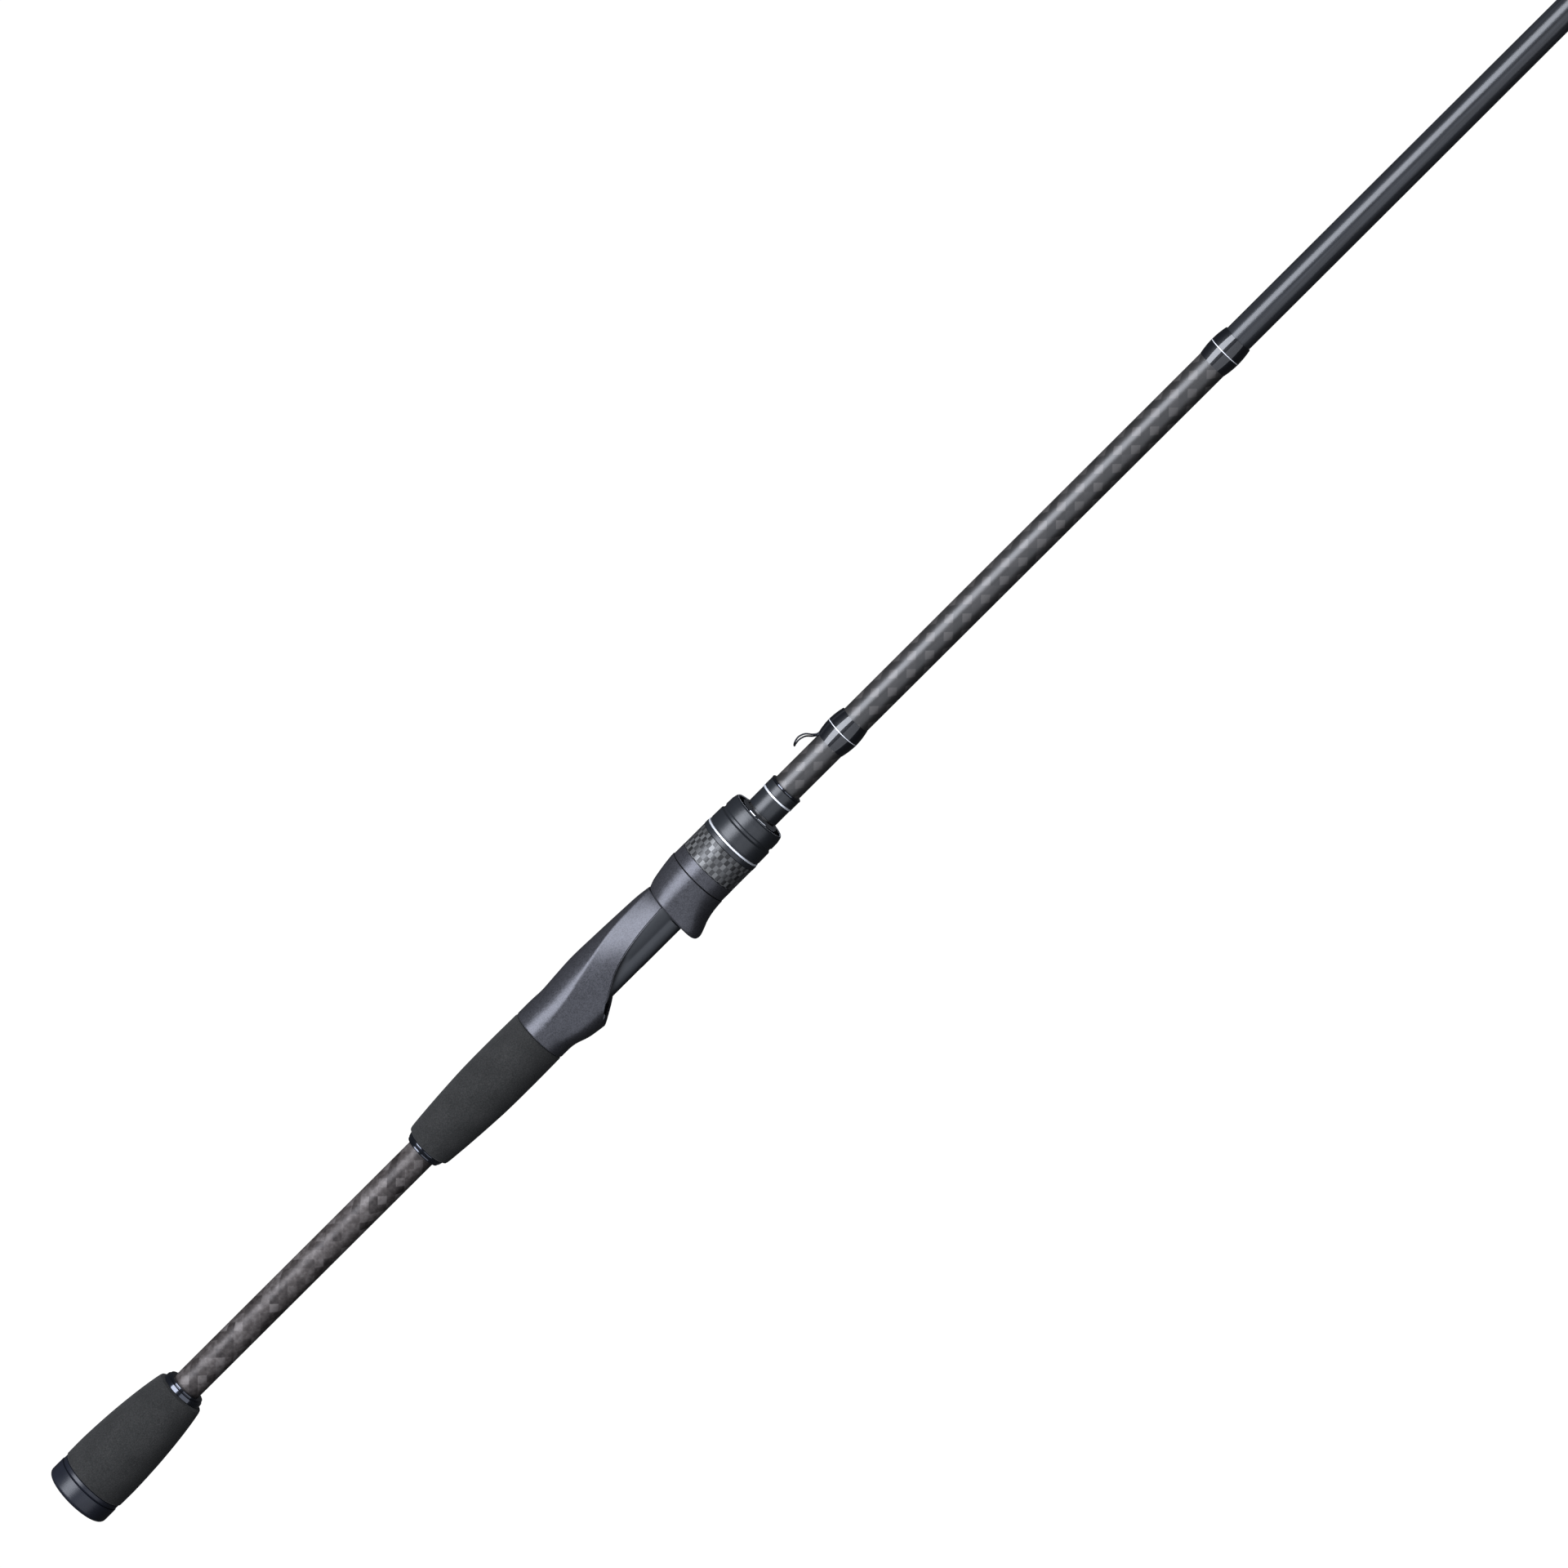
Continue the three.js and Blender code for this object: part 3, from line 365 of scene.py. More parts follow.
def outline(*corners, steps=5):
    """A closed outline of straight sides. Each corner (x, radius, rounding) becomes an arc of that
    rounding that touches both of its sides."""
    table = np.array([(*c, 0.0)[:3] for c in corners], float)
    points, rounding = table[:, :2], table[:, 2:]
    back = np.roll(points, 1, axis=0) - points
    ahead = np.roll(points, -1, axis=0) - points
    back /= np.linalg.norm(back, axis=1, keepdims=True)
    ahead /= np.linalg.norm(ahead, axis=1, keepdims=True)
    opening = np.arccos(np.clip((back * ahead).sum(1, keepdims=True), -1, 0.9999)) / 2
    opening = np.clip(opening, 1e-3, math.pi / 2 - 1e-3)
    middle = back + ahead
    middle /= np.maximum(np.linalg.norm(middle, axis=1, keepdims=True), 1e-9)
    centre = points + middle * rounding / np.sin(opening)
    start = points + back * rounding / np.tan(opening) - centre
    end = points + ahead * rounding / np.tan(opening) - centre
    turn = math.pi - 2 * opening
    t = np.linspace(0, 1, steps + 1)[None, :, None]
    turn = turn[:, :, None]
    arc = (np.sin((1 - t) * turn) * start[:, None] + np.sin(t * turn) * end[:, None]) / np.sin(turn)
    return (centre[:, None] + arc).reshape(-1, 2)


def turned(profile, around=AROUND):
    """A closed profile of (x, radius) turned about the rod: y = radius sin angle, z = radius cos angle."""
    angle = np.linspace(0, TURN, around, endpoint=False)
    x, r = np.asarray(profile, float).T
    return np.stack([
        np.broadcast_to(x[:, None], (len(x), around)),
        r[:, None] * np.sin(angle),
        r[:, None] * np.cos(angle),
    ], axis=-1)


def grid_faces(rows, columns, rows_closed, columns_closed):
    """The quads between each point of a grid and its next row and column."""
    i = np.arange(rows if rows_closed else rows - 1)[:, None]
    j = np.arange(columns if columns_closed else columns - 1)[None, :]
    next_row, next_column = (i + 1) % rows, (j + 1) % columns
    corners = [i * columns + j, i * columns + next_column, next_row * columns + next_column,
               next_row * columns + j]
    return np.stack(np.broadcast_arrays(*corners), axis=-1).reshape(-1, 4)


def weld(mesh):
    """Merges points that coincide, which closes seams and poles, and turns the faces outwards: a
    closed shape with outward faces encloses a volume above zero."""
    work = bmesh.new()
    work.from_mesh(mesh)
    bmesh.ops.remove_doubles(work, verts=work.verts, dist=0.0005 * MM)
    bmesh.ops.recalc_face_normals(work, faces=work.faces)
    if work.calc_volume(signed=True) < 0:
        bmesh.ops.reverse_faces(work, faces=work.faces)
    work.to_mesh(mesh)
    work.free()


def piece(name, nodes, body, finishes, surfaces, sharp=38):
    """One object that stands for CAD nodes. Each surface is (points, rows closed, columns closed,
    which finish)."""
    points, quads, marks, count = [], [], [], 0
    for grid, rows_closed, columns_closed, mark in surfaces:
        faces = grid_faces(*grid.shape[:2], rows_closed, columns_closed)
        points.append(grid.reshape(-1, 3))
        quads.append(faces + count)
        marks.append(np.full(len(faces), mark))
        count += grid.shape[0] * grid.shape[1]
    mesh = bpy.data.meshes.new(name)
    mesh.from_pydata((np.vstack(points) * MM).tolist(), [], np.vstack(quads).tolist())
    mesh.polygons.foreach_set("material_index", np.concatenate(marks).astype(np.int32))
    for each in finishes:
        mesh.materials.append(each)
    weld(mesh)
    mesh.shade_smooth()
    mesh.set_sharp_from_angle(angle=math.radians(sharp))
    made = bpy.data.objects.new(name, mesh)
    bpy.context.scene.collection.objects.link(made)
    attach(made, body)
    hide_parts(*nodes)
    return made


def round_piece(name, node, body, look, profile, around=AROUND):
    """A piece of one finish, turned from one closed profile."""
    return piece(name, [node], body, [look], [(turned(profile, around), True, True, 0)])


def blank_radius(x):
    """Full thickness in the handle, then a taper that steepens towards the tip."""
    t = np.clip((x - 620.0) / (1975.5 - 620.0), 0, 1)
    return 5.72 - (5.72 - 0.95) * t**1.75


# ---- butt, grips and checks ---------------------------------------------------------------
def make_butt():
    """Flat-ended cap with a rounded rim and a socket for the blank, and the thin ring between it
    and the foam."""
    round_piece("butt_cap_moulding", "butt_cap", "rod", BUTT_GLOSS, outline(
        (0, 0), (0, 14.0, 1.9), (7.5, 13.98, 0.35), (7.5, 6.1), (2.8, 6.1), (2.8, 0), steps=7))
    round_piece("butt_trim_ring", "butt_cap_ring", "rod", BUTT_GLOSS, outline(
        (7.6, 6.4), (7.6, 13.5, 0.2), (8.1, 13.74, 0.3), (9.6, 13.74, 0.35), (9.7, 6.4)))


def grip(name, node, table, soft_edges):
    """A turned foam grip: its long profile is a smooth curve, its ends are rounded over."""
    curve = through(*table)
    start, end = table[0][0], table[-1][0]
    x = mix(start, end, np.linspace(0, 1, 90))
    r = curve(x)
    for edge, size in zip((start, end), soft_edges):
        away = np.clip(np.abs(x - edge) / size, 0, 1)
        r = r - size * (1 - np.sqrt(1 - (1 - away)**2))
    fine = np.concatenate([[(start, 6.4)], np.stack([x, r], 1), [(end, 6.4)]])
    made = round_piece(name, node, "rod", EVA, fine)


def make_grips():
    """Both foam grips."""
    grip("rear_foam_grip", "rear_grip", [
        (9.8, 14.1), (19, 14.12), (31, 13.56), (38.7, 12.94), (46.3, 12.12), (52, 11.32),
        (56.6, 10.52), (58.4, 10.05)], (0.5, 0.9))
    grip("fore_foam_grip", "fore_grip", [
        (193.3, 9.0), (194.6, 9.55), (198.7, 10.0), (205, 10.52), (214, 11.12), (225.1, 11.64),
        (240, 11.76), (253.9, 11.62)], (0.8, 0.35))


def make_checks():
    """Stepped rings that close the open ends of the grips."""
    round_piece("rear_check_ring", "rear_winding_check", "rod", CHECK_GLOSS, outline(
        (58.5, 6.12), (58.5, 8.84, 0.25), (60.35, 8.6, 0.35), (60.65, 7.9, 0.12), (61.0, 8.1, 0.15),
        (61.45, 7.95, 0.2), (61.5, 6.12)))
    round_piece("fore_check_ring", "fore_winding_check", "rod", CHECK_GLOSS, outline(
        (190.6, 6.12), (190.6, 7.35, 0.2), (191.0, 7.55, 0.15), (191.35, 7.4, 0.1), (191.6, 7.85, 0.2),
        (193.2, 8.34, 0.3), (193.2, 6.12)))


def make_tubes():
    """Both woven sleeves, and the blank as one tapered tube with a wall that thins to the tip."""
    round_piece("rear_woven_sleeve", "rear_carbon_sleeve", "rod", REAR_CARBON, outline(
        (10.5, 5.79), (10.5, 6.06), (252, 6.06), (252, 5.79)), BLANK_AROUND)
    round_piece("fore_woven_sleeve", "fore_carbon_sleeve", "rod", FORE_CARBON, outline(
        (371.3, 5.79), (371.3, 5.95), (618, 6.08, 0.05), (618, 5.79)), BLANK_AROUND)
    x = np.concatenate([np.linspace(3.2, 620, 12), np.linspace(640, 1975.5, 120)])
    r = blank_radius(x)
    wall = mix(1.1, 0.45, (x - 3.2) / 1972.3)
    loop = np.concatenate([np.stack([x, r], 1), np.stack([x, r - wall], 1)[::-1]])
    round_piece("carbon_blank_tube", "blank", "rod", BLANK_COAT, loop, BLANK_AROUND)


# ---- reel seat ----------------------------------------------------------------------------
seat_top = through((254, 11.65), (260, 11.6), (267, 11.35), (275, 11.85), (284, 12.3), (296, 12.0),
                   (310, 11.45), (318, 11.0), (324, 10.2))
seat_bottom = through((254, 11.6), (259, 11.8), (266, 13.5), (271, 14.4), (276, 14.9), (300, 14.9))
ridge_height = through((254, 0.4), (261, 0.6), (273, 2.3), (283, 4.8), (294, 7.35), (302, 8.9),
                       (310, 9.6), (324, 9.7))
leaf_edge = through((254, -7), (276, -7.4), (282.4, -9.45), (288, -6.6), (293.7, -3.6), (301.5, -1.2),
                    (312, 0.5), (326, 1.5))
leaf_width = through((254, 9.25), (270, 10.3), (283, 10.6), (302, 10.2), (326, 9.5))
RIDGE_TURN = 0.49 * math.pi  # where the ridge and the leaf's lower edge lie round the section
EDGE_TURN = 0.706 * math.pi
MOUTH_BACK, MOUTH_FRONT = 274.3, 282.4  # the fixed hood's slanted mouth
LIP_LEAN = 0.07  # how far the seat's end and the hood's lip lean forward for each mm of height
THREAD_LEAD = 1.75
BED_DOWN, BED_OUT, BED_CORNER = 9.1, 8.3, 3.3
BARREL_RADIUS = 9.2


def seat_section(x, turn):
    """Half section of the seat's skin, turn from 0 at the top to pi at the bottom: an oval about the
    axis down to the ridge, a nearly straight leaf from the ridge to its lower edge, and an oval
    that closes the fixed hood. At its rear end it turns into a circle."""
    top = seat_top(x)
    wide = mix(11.6, 12.0, smoothstep(x, 254, 285))
    ridge = np.arccos(np.minimum(ridge_height(x) / top, 0.98))
    high_y, high_z = wide * np.sin(ridge), top * np.cos(ridge)
    low_y, low_z = leaf_width(x), leaf_edge(x)
    back = ridge * turn / RIDGE_TURN
    t = np.clip((turn - RIDGE_TURN) / (EDGE_TURN - RIDGE_TURN), 0, 1)
    leaf_y = mix(high_y, low_y, t) + 0.25 * np.sin(math.pi * t)
    s = np.clip((turn - EDGE_TURN) / (math.pi - EDGE_TURN), 0, 1) * math.pi / 2
    hood_z = low_z - (seat_bottom(x) + low_z) * np.sin(s)
    y = np.where(turn <= RIDGE_TURN, wide * np.sin(back),
                 np.where(turn <= EDGE_TURN, leaf_y, low_y * np.cos(s)))
    z = np.where(turn <= RIDGE_TURN, top * np.cos(back),
                 np.where(turn <= EDGE_TURN, mix(high_z, low_z, t), hood_z))
    blend = smoothstep(x, 255, 268)
    return mix(11.6 * np.sin(turn), y, blend), mix(11.6 * np.cos(turn), z, blend)


def softened(values, passes):
    """Each column moved towards the mean of its neighbours, which rounds a ridge a little."""
    for _ in range(passes):
        values = values.copy()
        values[:, 1:-1] = 0.5 * values[:, 1:-1] + 0.25 * (values[:, 2:] + values[:, :-2])
    return values


def pulled_in(y, z, depth):
    """Points moved towards the axis by depth."""
    scale = 1 - depth / np.hypot(y, z)
    return y * scale, z * scale


def cut_turn(x):
    """How far round the skin reaches: all the way at the fixed hood, up to a slanted mouth in front
    of it, and to the leaf's lower edge along the foot's bed."""
    slant = mix(-15.0, -9.45, (x - MOUTH_BACK) / (MOUTH_FRONT - MOUTH_BACK))
    share = np.clip((leaf_edge(x) - slant) / (seat_bottom(x) + leaf_edge(x)), 0, 1)
    mouth = EDGE_TURN + (math.pi - EDGE_TURN) * 2 / math.pi * np.arcsin(share)
    return np.where(x <= MOUTH_BACK, math.pi, np.where(x >= MOUTH_FRONT, EDGE_TURN, mouth))


def seat_skin():
    """The skin is a wall 1.3 mm thick: the outer grid is joined at its lower edges and at both ends
    to the same grid pulled in towards the axis, with rounded rims."""
    columns = np.concatenate([
        np.linspace(0, RIDGE_TURN, 36), np.linspace(RIDGE_TURN, EDGE_TURN, 24)[1:],
        EDGE_TURN + np.linspace(0, 1, 24)[1:],
    ])
    x = np.concatenate([
        [254.1, 254.12, 254.2, 254.35, 254.6], np.linspace(255, MOUTH_BACK, 32),
        np.linspace(274.5, MOUTH_FRONT, 28), np.linspace(282.8, 322.6, 64),
        [322.9, 323.1, 323.22, 323.28, 323.3],
    ])
    end_round = np.interp(x, [254.1, 254.12, 254.2, 254.35, 254.6, 322.9, 323.1, 323.22, 323.28, 323.3],
                          [0.5, 0.37, 0.2, 0.07, 0, 0, 0.04, 0.12, 0.2, 0.3])
    grid_x = np.broadcast_to(x[:, None], (len(x), len(columns)))
    reach = cut_turn(x)[:, None]
    beyond = np.maximum(columns - EDGE_TURN, 0)[None, :]
    turn = np.minimum(columns, EDGE_TURN)[None, :] + beyond * (reach - EDGE_TURN)
    lean = smoothstep(grid_x, 300, 323.3)
    y, z = seat_section(grid_x, turn)
    leaning_x = grid_x + LIP_LEAN * z * lean
    y, z = softened(y, 2), softened(z, 2)
    edge_gap = (reach - turn) * 12
    rim = 0.35 * (1 - np.sqrt(1 - (1 - np.clip(edge_gap / 0.35, 0, 1))**2)) * (reach < math.pi - 1e-6)
    outer_y, outer_z = pulled_in(y, z, rim + end_round[:, None])
    inner_y, inner_z = pulled_in(y, z, 1.3)
    sheets = []
    for side in (1, -1):
        for sheet_y, sheet_z in ((outer_y, outer_z), (inner_y, inner_z)):
            sheets.append(np.stack([leaning_x, side * sheet_y, sheet_z], axis=-1))
    right, right_in, left, left_in = sheets
    rims = [np.stack([right[:, -1], right_in[:, -1]], 1), np.stack([left[:, -1], left_in[:, -1]], 1)]
    ends = [np.stack([s[k], t[k]], 0) for s, t in ((right, right_in), (left, left_in)) for k in (0, -1)]
    surfaces = [(s, False, False, 0) for s in (*sheets, *ends)]
    split = np.flatnonzero(reach[:, 0] > math.pi - 1e-6)[-1]
    surfaces += [(r[split:], False, False, 0) for r in rims]
    return surfaces


def bed_radius(angle):
    """Distance from the axis to a bar with a flat bottom 9.1 mm down, flat sides 8.3 mm out and
    corners of 3.3 mm."""
    s, c = np.abs(np.sin(angle)), -np.cos(angle)
    flat = np.minimum(BED_DOWN / np.maximum(c, 1e-6), BED_OUT / np.maximum(s, 1e-6))
    centre_y, centre_z = BED_OUT - BED_CORNER, BED_DOWN - BED_CORNER
    reach = centre_y * s + centre_z * c
    corner = reach + np.sqrt(np.maximum(reach**2 - centre_y**2 - centre_z**2 + BED_CORNER**2, 0))
    y, z = flat * s, flat * c
    in_corner = (y > centre_y) & (z > centre_z)
    return np.where(c > 0, np.where(in_corner, corner, flat), 6.5)


def seat_core():
    """The bed and the threaded barrel are one distance from the axis over length and angle: the
    bed's bar, then a round barrel with a thread cut 0.75 mm deep, one turn in 1.75 mm, and a flat
    keyway along its top."""
    angle = np.linspace(0, TURN, 180, endpoint=False)[None, :]
    x = np.concatenate([
        [262.0], np.linspace(262.3, 322.2, 40),
        [322.28, 322.3, 322.32, 323.0, 323.8, 323.82, 324.1, 324.5],
        np.linspace(324.6, 370.3, 230), [370.6, 370.9],
    ])[:, None]
    wave = np.mod(x / THREAD_LEAD - angle / TURN, 1)
    tooth = np.clip((np.abs(wave - 0.5) - 0.14) / 0.22, 0, 1)
    thread = (BARREL_RADIUS - 0.75 * (1 - tooth) * smoothstep(x, 324.4, 325.6)
              * (1 - smoothstep(x, 369.4, 370.4)))
    barrel = thread - 0.3 * smoothstep(x, 370.3, 370.9)
    under_leaf = BARREL_RADIUS - 0.9 * smoothstep(np.cos(angle), 0.12, 0.3)
    bed = np.where(x >= 300, np.maximum(bed_radius(angle), under_leaf), bed_radius(angle))
    shoulder = np.where(x <= 323.8, np.minimum(barrel, under_leaf), barrel)
    outer = np.where(x <= 322.3, bed, shoulder)
    keyway = np.where((np.cos(angle) > 0) & (np.abs(np.sin(angle)) * 8.3 < 1.6) & (x >= 323.9),
                      8.2 / np.cos(angle), 99)
    outer = np.minimum(outer, keyway)
    bore = np.full((2, angle.size), 7.4)
    grids = []
    for at, radius in ((x, outer), (x[[-1, 0]], bore)):
        grids.append(np.stack([np.broadcast_to(at, radius.shape), radius * np.sin(angle),
                               radius * np.cos(angle)], axis=-1))
    return np.concatenate(grids)


def make_seat():
    """Painted skin over a nylon core, as one moulding."""
    piece("reel_seat_moulding", ["reel_seat_body"], "rod", [SEAT_PAINT, INNER_NYLON],
          [*seat_skin(), (seat_core(), True, True, 1)], sharp=55)


def cushion(name, node, body, x, layers):
    """A liner: a sheet with two layers of (y, z), closed along both long edges and at both ends."""
    grids = [np.stack([np.broadcast_to(x, y.shape), y, z], -1) for y, z in layers]
    loop = np.concatenate([grids[0], grids[1][:, ::-1]], axis=1)
    ends = [(np.stack([grids[0][k], grids[1][k]], 0), False, False, 0) for k in (0, -1)]
    piece(name, [node], body, [LINER], [(loop, False, True, 0), *ends])


def make_fixed_liner():
    """The liner follows the fixed hood from inside, 0.7 mm thick, and shows at the hood's mouth."""
    x = np.linspace(264.1, 276.2, 30)[:, None]
    share = np.linspace(-1, 1, 61)[None, :]
    reach = cut_turn(x)
    half = math.pi - EDGE_TURN - 0.12
    gap = math.pi - reach
    turn = math.pi - np.abs(share) * half - gap * (1 - np.abs(share))
    y, z = seat_section(np.broadcast_to(x, turn.shape), turn)
    layers = [pulled_in(y, z, depth) for depth in (1.4, 2.1)]
    cushion("fixed_hood_cushion", "fixed_hood_liner", "rod", x,
            [(np.sign(share) * inner_y, inner_z) for inner_y, inner_z in layers])


# ---- moving hood --------------------------------------------------------------------------
hood_top = through((321, 9.9), (324.3, 10.2), (327, 11.1), (330.5, 11.8), (334, 12.35), (338, 12.8),
                   (340, 12.9))
hood_bottom = through((321, 13.2), (321.9, 14.9), (323, 15.9), (324.4, 16.2), (327, 15.4), (330, 14.25),
                      (334, 13.3), (338, 12.85), (340, 12.75))
hood_width = through((321, 11.1), (326, 11.4), (332, 12.1), (340, 12.85))
HOOD_FRONT = 339.7


def egg(angle, width, top, bottom, fullness):
    """Half an oval above, and below it half of a fuller, squarer oval."""
    s, c = np.sin(angle), np.cos(angle)
    power = 2 / fullness
    y = np.where(c >= 0, width * s, width * np.sign(s) * np.abs(s)**power)
    z = np.where(c >= 0, top * c, -bottom * np.abs(c)**power)
    return y, z


def hood_section(x, angle):
    """Section of the moving hood: squarer below at the lip, round at the nut."""
    fullness = mix(2.7, 2.0, smoothstep(x, 324, 338))
    return egg(angle, hood_width(x), hood_top(x), hood_bottom(x), fullness)


def foot_pocket(x, angle, inset=0.0):
    """The pocket for the reel's foot: an egg section that narrows and gets shallower forwards."""
    level = np.clip((x - 321) / (333.6 - 321), 0, 1)
    return egg(angle, mix(9.2, 7.6, level) - inset, 3.0, mix(15.0, 10.4, level) - inset, 2.6)


def make_hood():
    """The hood is one wall: its outer skin from the leaning lip to the nut, and inside it the
    largest of the barrel's bore and the pocket for the reel's foot, joined over rounded lips."""
    angle = np.linspace(0, TURN, 200, endpoint=False)[None, :]
    start = 323.6
    for _ in range(2):  # the lip leans with its own height, which the second round settles
        start = 323.6 + LIP_LEAN * hood_section(start, angle)[1]
    edge = np.array([0, 0.03, 0.12, 0.3, 0.6])
    share = np.concatenate([edge / 16, np.linspace(1.0 / 16, 15.5 / 16, 60), 1 - edge[::-1] / 32])
    share = np.maximum.accumulate(share)
    x = start + (HOOD_FRONT - start) * share[:, None]
    y, z = hood_section(x, angle)
    rear = 0.6 * (1 - np.sqrt(1 - (1 - np.clip((x - start) / 0.6, 0, 1))**2))
    front = 0.3 * (1 - np.sqrt(1 - (1 - np.clip((HOOD_FRONT - x) / 0.3, 0, 1))**2))
    y, z = pulled_in(y, z, rear + front)
    skin = np.stack([x, y, z], -1)
    depth = np.concatenate([[0, 0.15, 0.4], np.linspace(1, 9.4, 22), np.linspace(9.6, 11.5, 8),
                            [12.0, 12.01, 15.6]])[:, None]
    inner_x = np.minimum(start + depth, HOOD_FRONT)
    pocket_y, pocket_z = foot_pocket(inner_x, angle)
    close = smoothstep(depth, 9.4, 11.2)
    pocket = mix(np.hypot(pocket_y, pocket_z), 9.0, close)
    polar = np.arctan2(pocket_y, pocket_z)
    outer_polar = np.arctan2(*hood_section(inner_x, angle))
    order = np.argsort(np.mod(polar, TURN), axis=1)
    bore = np.where(inner_x > 335.6, 10.85, 9.5)
    radius = np.empty_like(pocket)
    for k in range(len(depth)):  # one section at a time, because each has its own angles
        known = np.mod(polar[k], TURN)[order[k]]
        radius[k] = np.interp(np.mod(outer_polar[k], TURN), known, pocket[k][order[k]], period=TURN)
    radius = np.maximum(radius, bore)
    radius = radius + 0.24 * (1 - smoothstep(depth, 0, 0.5))
    hollow = np.stack([inner_x, radius * np.sin(outer_polar), radius * np.cos(outer_polar)], -1)
    piece("moving_hood_moulding", ["moving_hood"], "hood", [SEAT_PAINT],
          [(np.concatenate([skin, hollow[::-1]]), True, True, 0)], sharp=50)


def make_moving_liner():
    """The liner follows the bottom of the hood's pocket, between 0.12 and 0.8 mm inside it."""
    x = np.linspace(323.6, 330.8, 16)[:, None]
    share = np.linspace(-1, 1, 61)[None, :]
    turn = math.pi + share * 0.34 * math.pi
    cushion("moving_hood_cushion", "moving_hood_liner", "hood", x,
            [foot_pocket(x, turn, inset) for inset in (0.12, 0.8)])


# ---- lock nut and the trim in front of it -------------------------------------------------
def make_nut():
    """The nut is one profile, with a painted highlight on the rounded edge of its mouth, which takes the
    bright satin metal, and carries four rings.
    """
    profile = outline(
        (335.9, 9.5), (335.9, 10.5, 0.2), (336.3, 10.5), (336.3, 9.9), (337.7, 9.9), (337.7, 10.5),
        (359.1, 10.5), (359.1, 12.2, 0.1), (360.0, 12.4, 0.5), (365.1, 12.32, 0.3), (365.7, 11.7, 0.25),
        (366.6, 11.65, 0.3), (367.2, 12.02, 0.3), (370.4, 11.92, 1.2), (372.2, 11.5, 0.5),
        (372.9, 11.0, 0.12), (372.5, 10.7, 0.2), (368.5, 10.7), (368.5, 9.5))
    # the rounded edge of the mouth takes the bright metal as a painted highlight: a line of light along the
    # black edge
    rim = np.flatnonzero(profile[:, 0] > 372.3)
    rest = np.roll(profile, -rim[-1], axis=0)[:len(profile) - len(rim) + 2]
    piece("lock_nut_moulding", ["lock_nut"], "nut", [NUT_SATIN, BRIGHT], [
        (turned(profile[rim]), False, True, 1), (turned(rest), False, True, 0)])
    band = [
        ("nut_collar_ring", "nut_collar", SEAT_PAINT, "seat_satin", 339.95, 345.2, 12.6, 0.18),
        ("nut_woven_band", "nut_carbon_band", NUT_CARBON, "carbon_weave", 345.3, 356.1, 12.55, 0.12),
        ("nut_gloss_ring", "nut_black_ring", NUT_SATIN, "gloss_black", 356.2, 358.1, 12.65, 0.2),
        ("nut_bright_ring", "nut_silver_ring", BRIGHT, "bright_trim", 358.2, 359.0, 12.5, 0.15),
    ]
    for name, node, look, slot, start, end, radius, soft in band:
        round_piece(name, node, "nut", look, outline(
            (start, 10.6), (start, radius, soft), (end, radius, soft), (end, 10.6)))


def make_trim():
    """The bright ring at the end of the barrel, and the stepped trim in front of it."""
    round_piece("barrel_bright_ring", "barrel_end_ring", "rod", CHROME, outline(
        (371.1, 6.3), (371.1, 8.22, 0.25), (372.8, 8.24, 0.5), (373.85, 7.5, 0.3), (373.85, 6.3)))
    for name, node, look, slot, start, end, radius, soft in (
            ("trim_tube", "trim_sleeve", TRIM_SATIN, "trim_black", 374.4, 381.9, 6.81, 0.15),
            ("trim_bright_ring", "trim_silver_ring", BRIGHT, "bright_trim", 382.0, 382.8, 6.99, 0.2),
            ("trim_collar_ring", "trim_collar", TRIM_SATIN, "trim_black", 382.9, 386.5, 6.93, 0.2),
            ("trim_end_ring", "trim_front_ring", CHECK_GLOSS, "navy_gloss", 386.6, 387.4, 7.02, 0.25)):
        round_piece(name, node, "rod", look, outline(
            (start, 6.1), (start, radius, soft), (end, radius, soft), (end, 6.1)))


# ---- wire, wraps and guides ---------------------------------------------------------------
def spline(points, samples):
    """A smooth line through points, sampled evenly by point number."""
    points = np.asarray(points, float)
    number = np.arange(len(points), dtype=float)
    t = np.linspace(0, len(points) - 1, samples)
    return np.stack([through(*zip(number, points[:, k]))(t) for k in range(3)], axis=1)


def wire(path, radius, side):
    """A round bar carried along a path. Each section stands square to the path: its two directions
    are square to the path and to a fixed side."""
    ahead = np.gradient(path, axis=0)
    ahead /= np.linalg.norm(ahead, axis=1, keepdims=True)
    first = np.cross(ahead, np.asarray(side, float))
    first /= np.linalg.norm(first, axis=1, keepdims=True)
    second = np.cross(ahead, first)
    angle = np.linspace(0, TURN, WIRE_AROUND, endpoint=False)[None, :, None]
    section = np.cos(angle) * first[:, None] + np.sin(angle) * second[:, None]
    return path[:, None] + radius[:, None, None] * section


def closed_wire(path, radius, side):
    """A bar with round ends: near each end its radius follows that of a ball."""
    length = np.concatenate([[0], np.cumsum(np.linalg.norm(np.diff(path, axis=0), axis=1))])
    end = radius * np.array([0, 0.03, 0.12, 0.3, 0.6, 1])
    middle = np.linspace(1.4 * radius, length[-1] - 1.4 * radius, len(path))
    at = np.concatenate([end, middle, length[-1] - end[::-1]])
    fine = np.stack([np.interp(at, length, path[:, k]) for k in range(3)], axis=1)
    near = np.clip(np.minimum(at, length[-1] - at) / radius, 0, 1)
    return wire(fine, radius * np.maximum(np.sqrt(1 - (1 - near)**2), 1e-4), side)


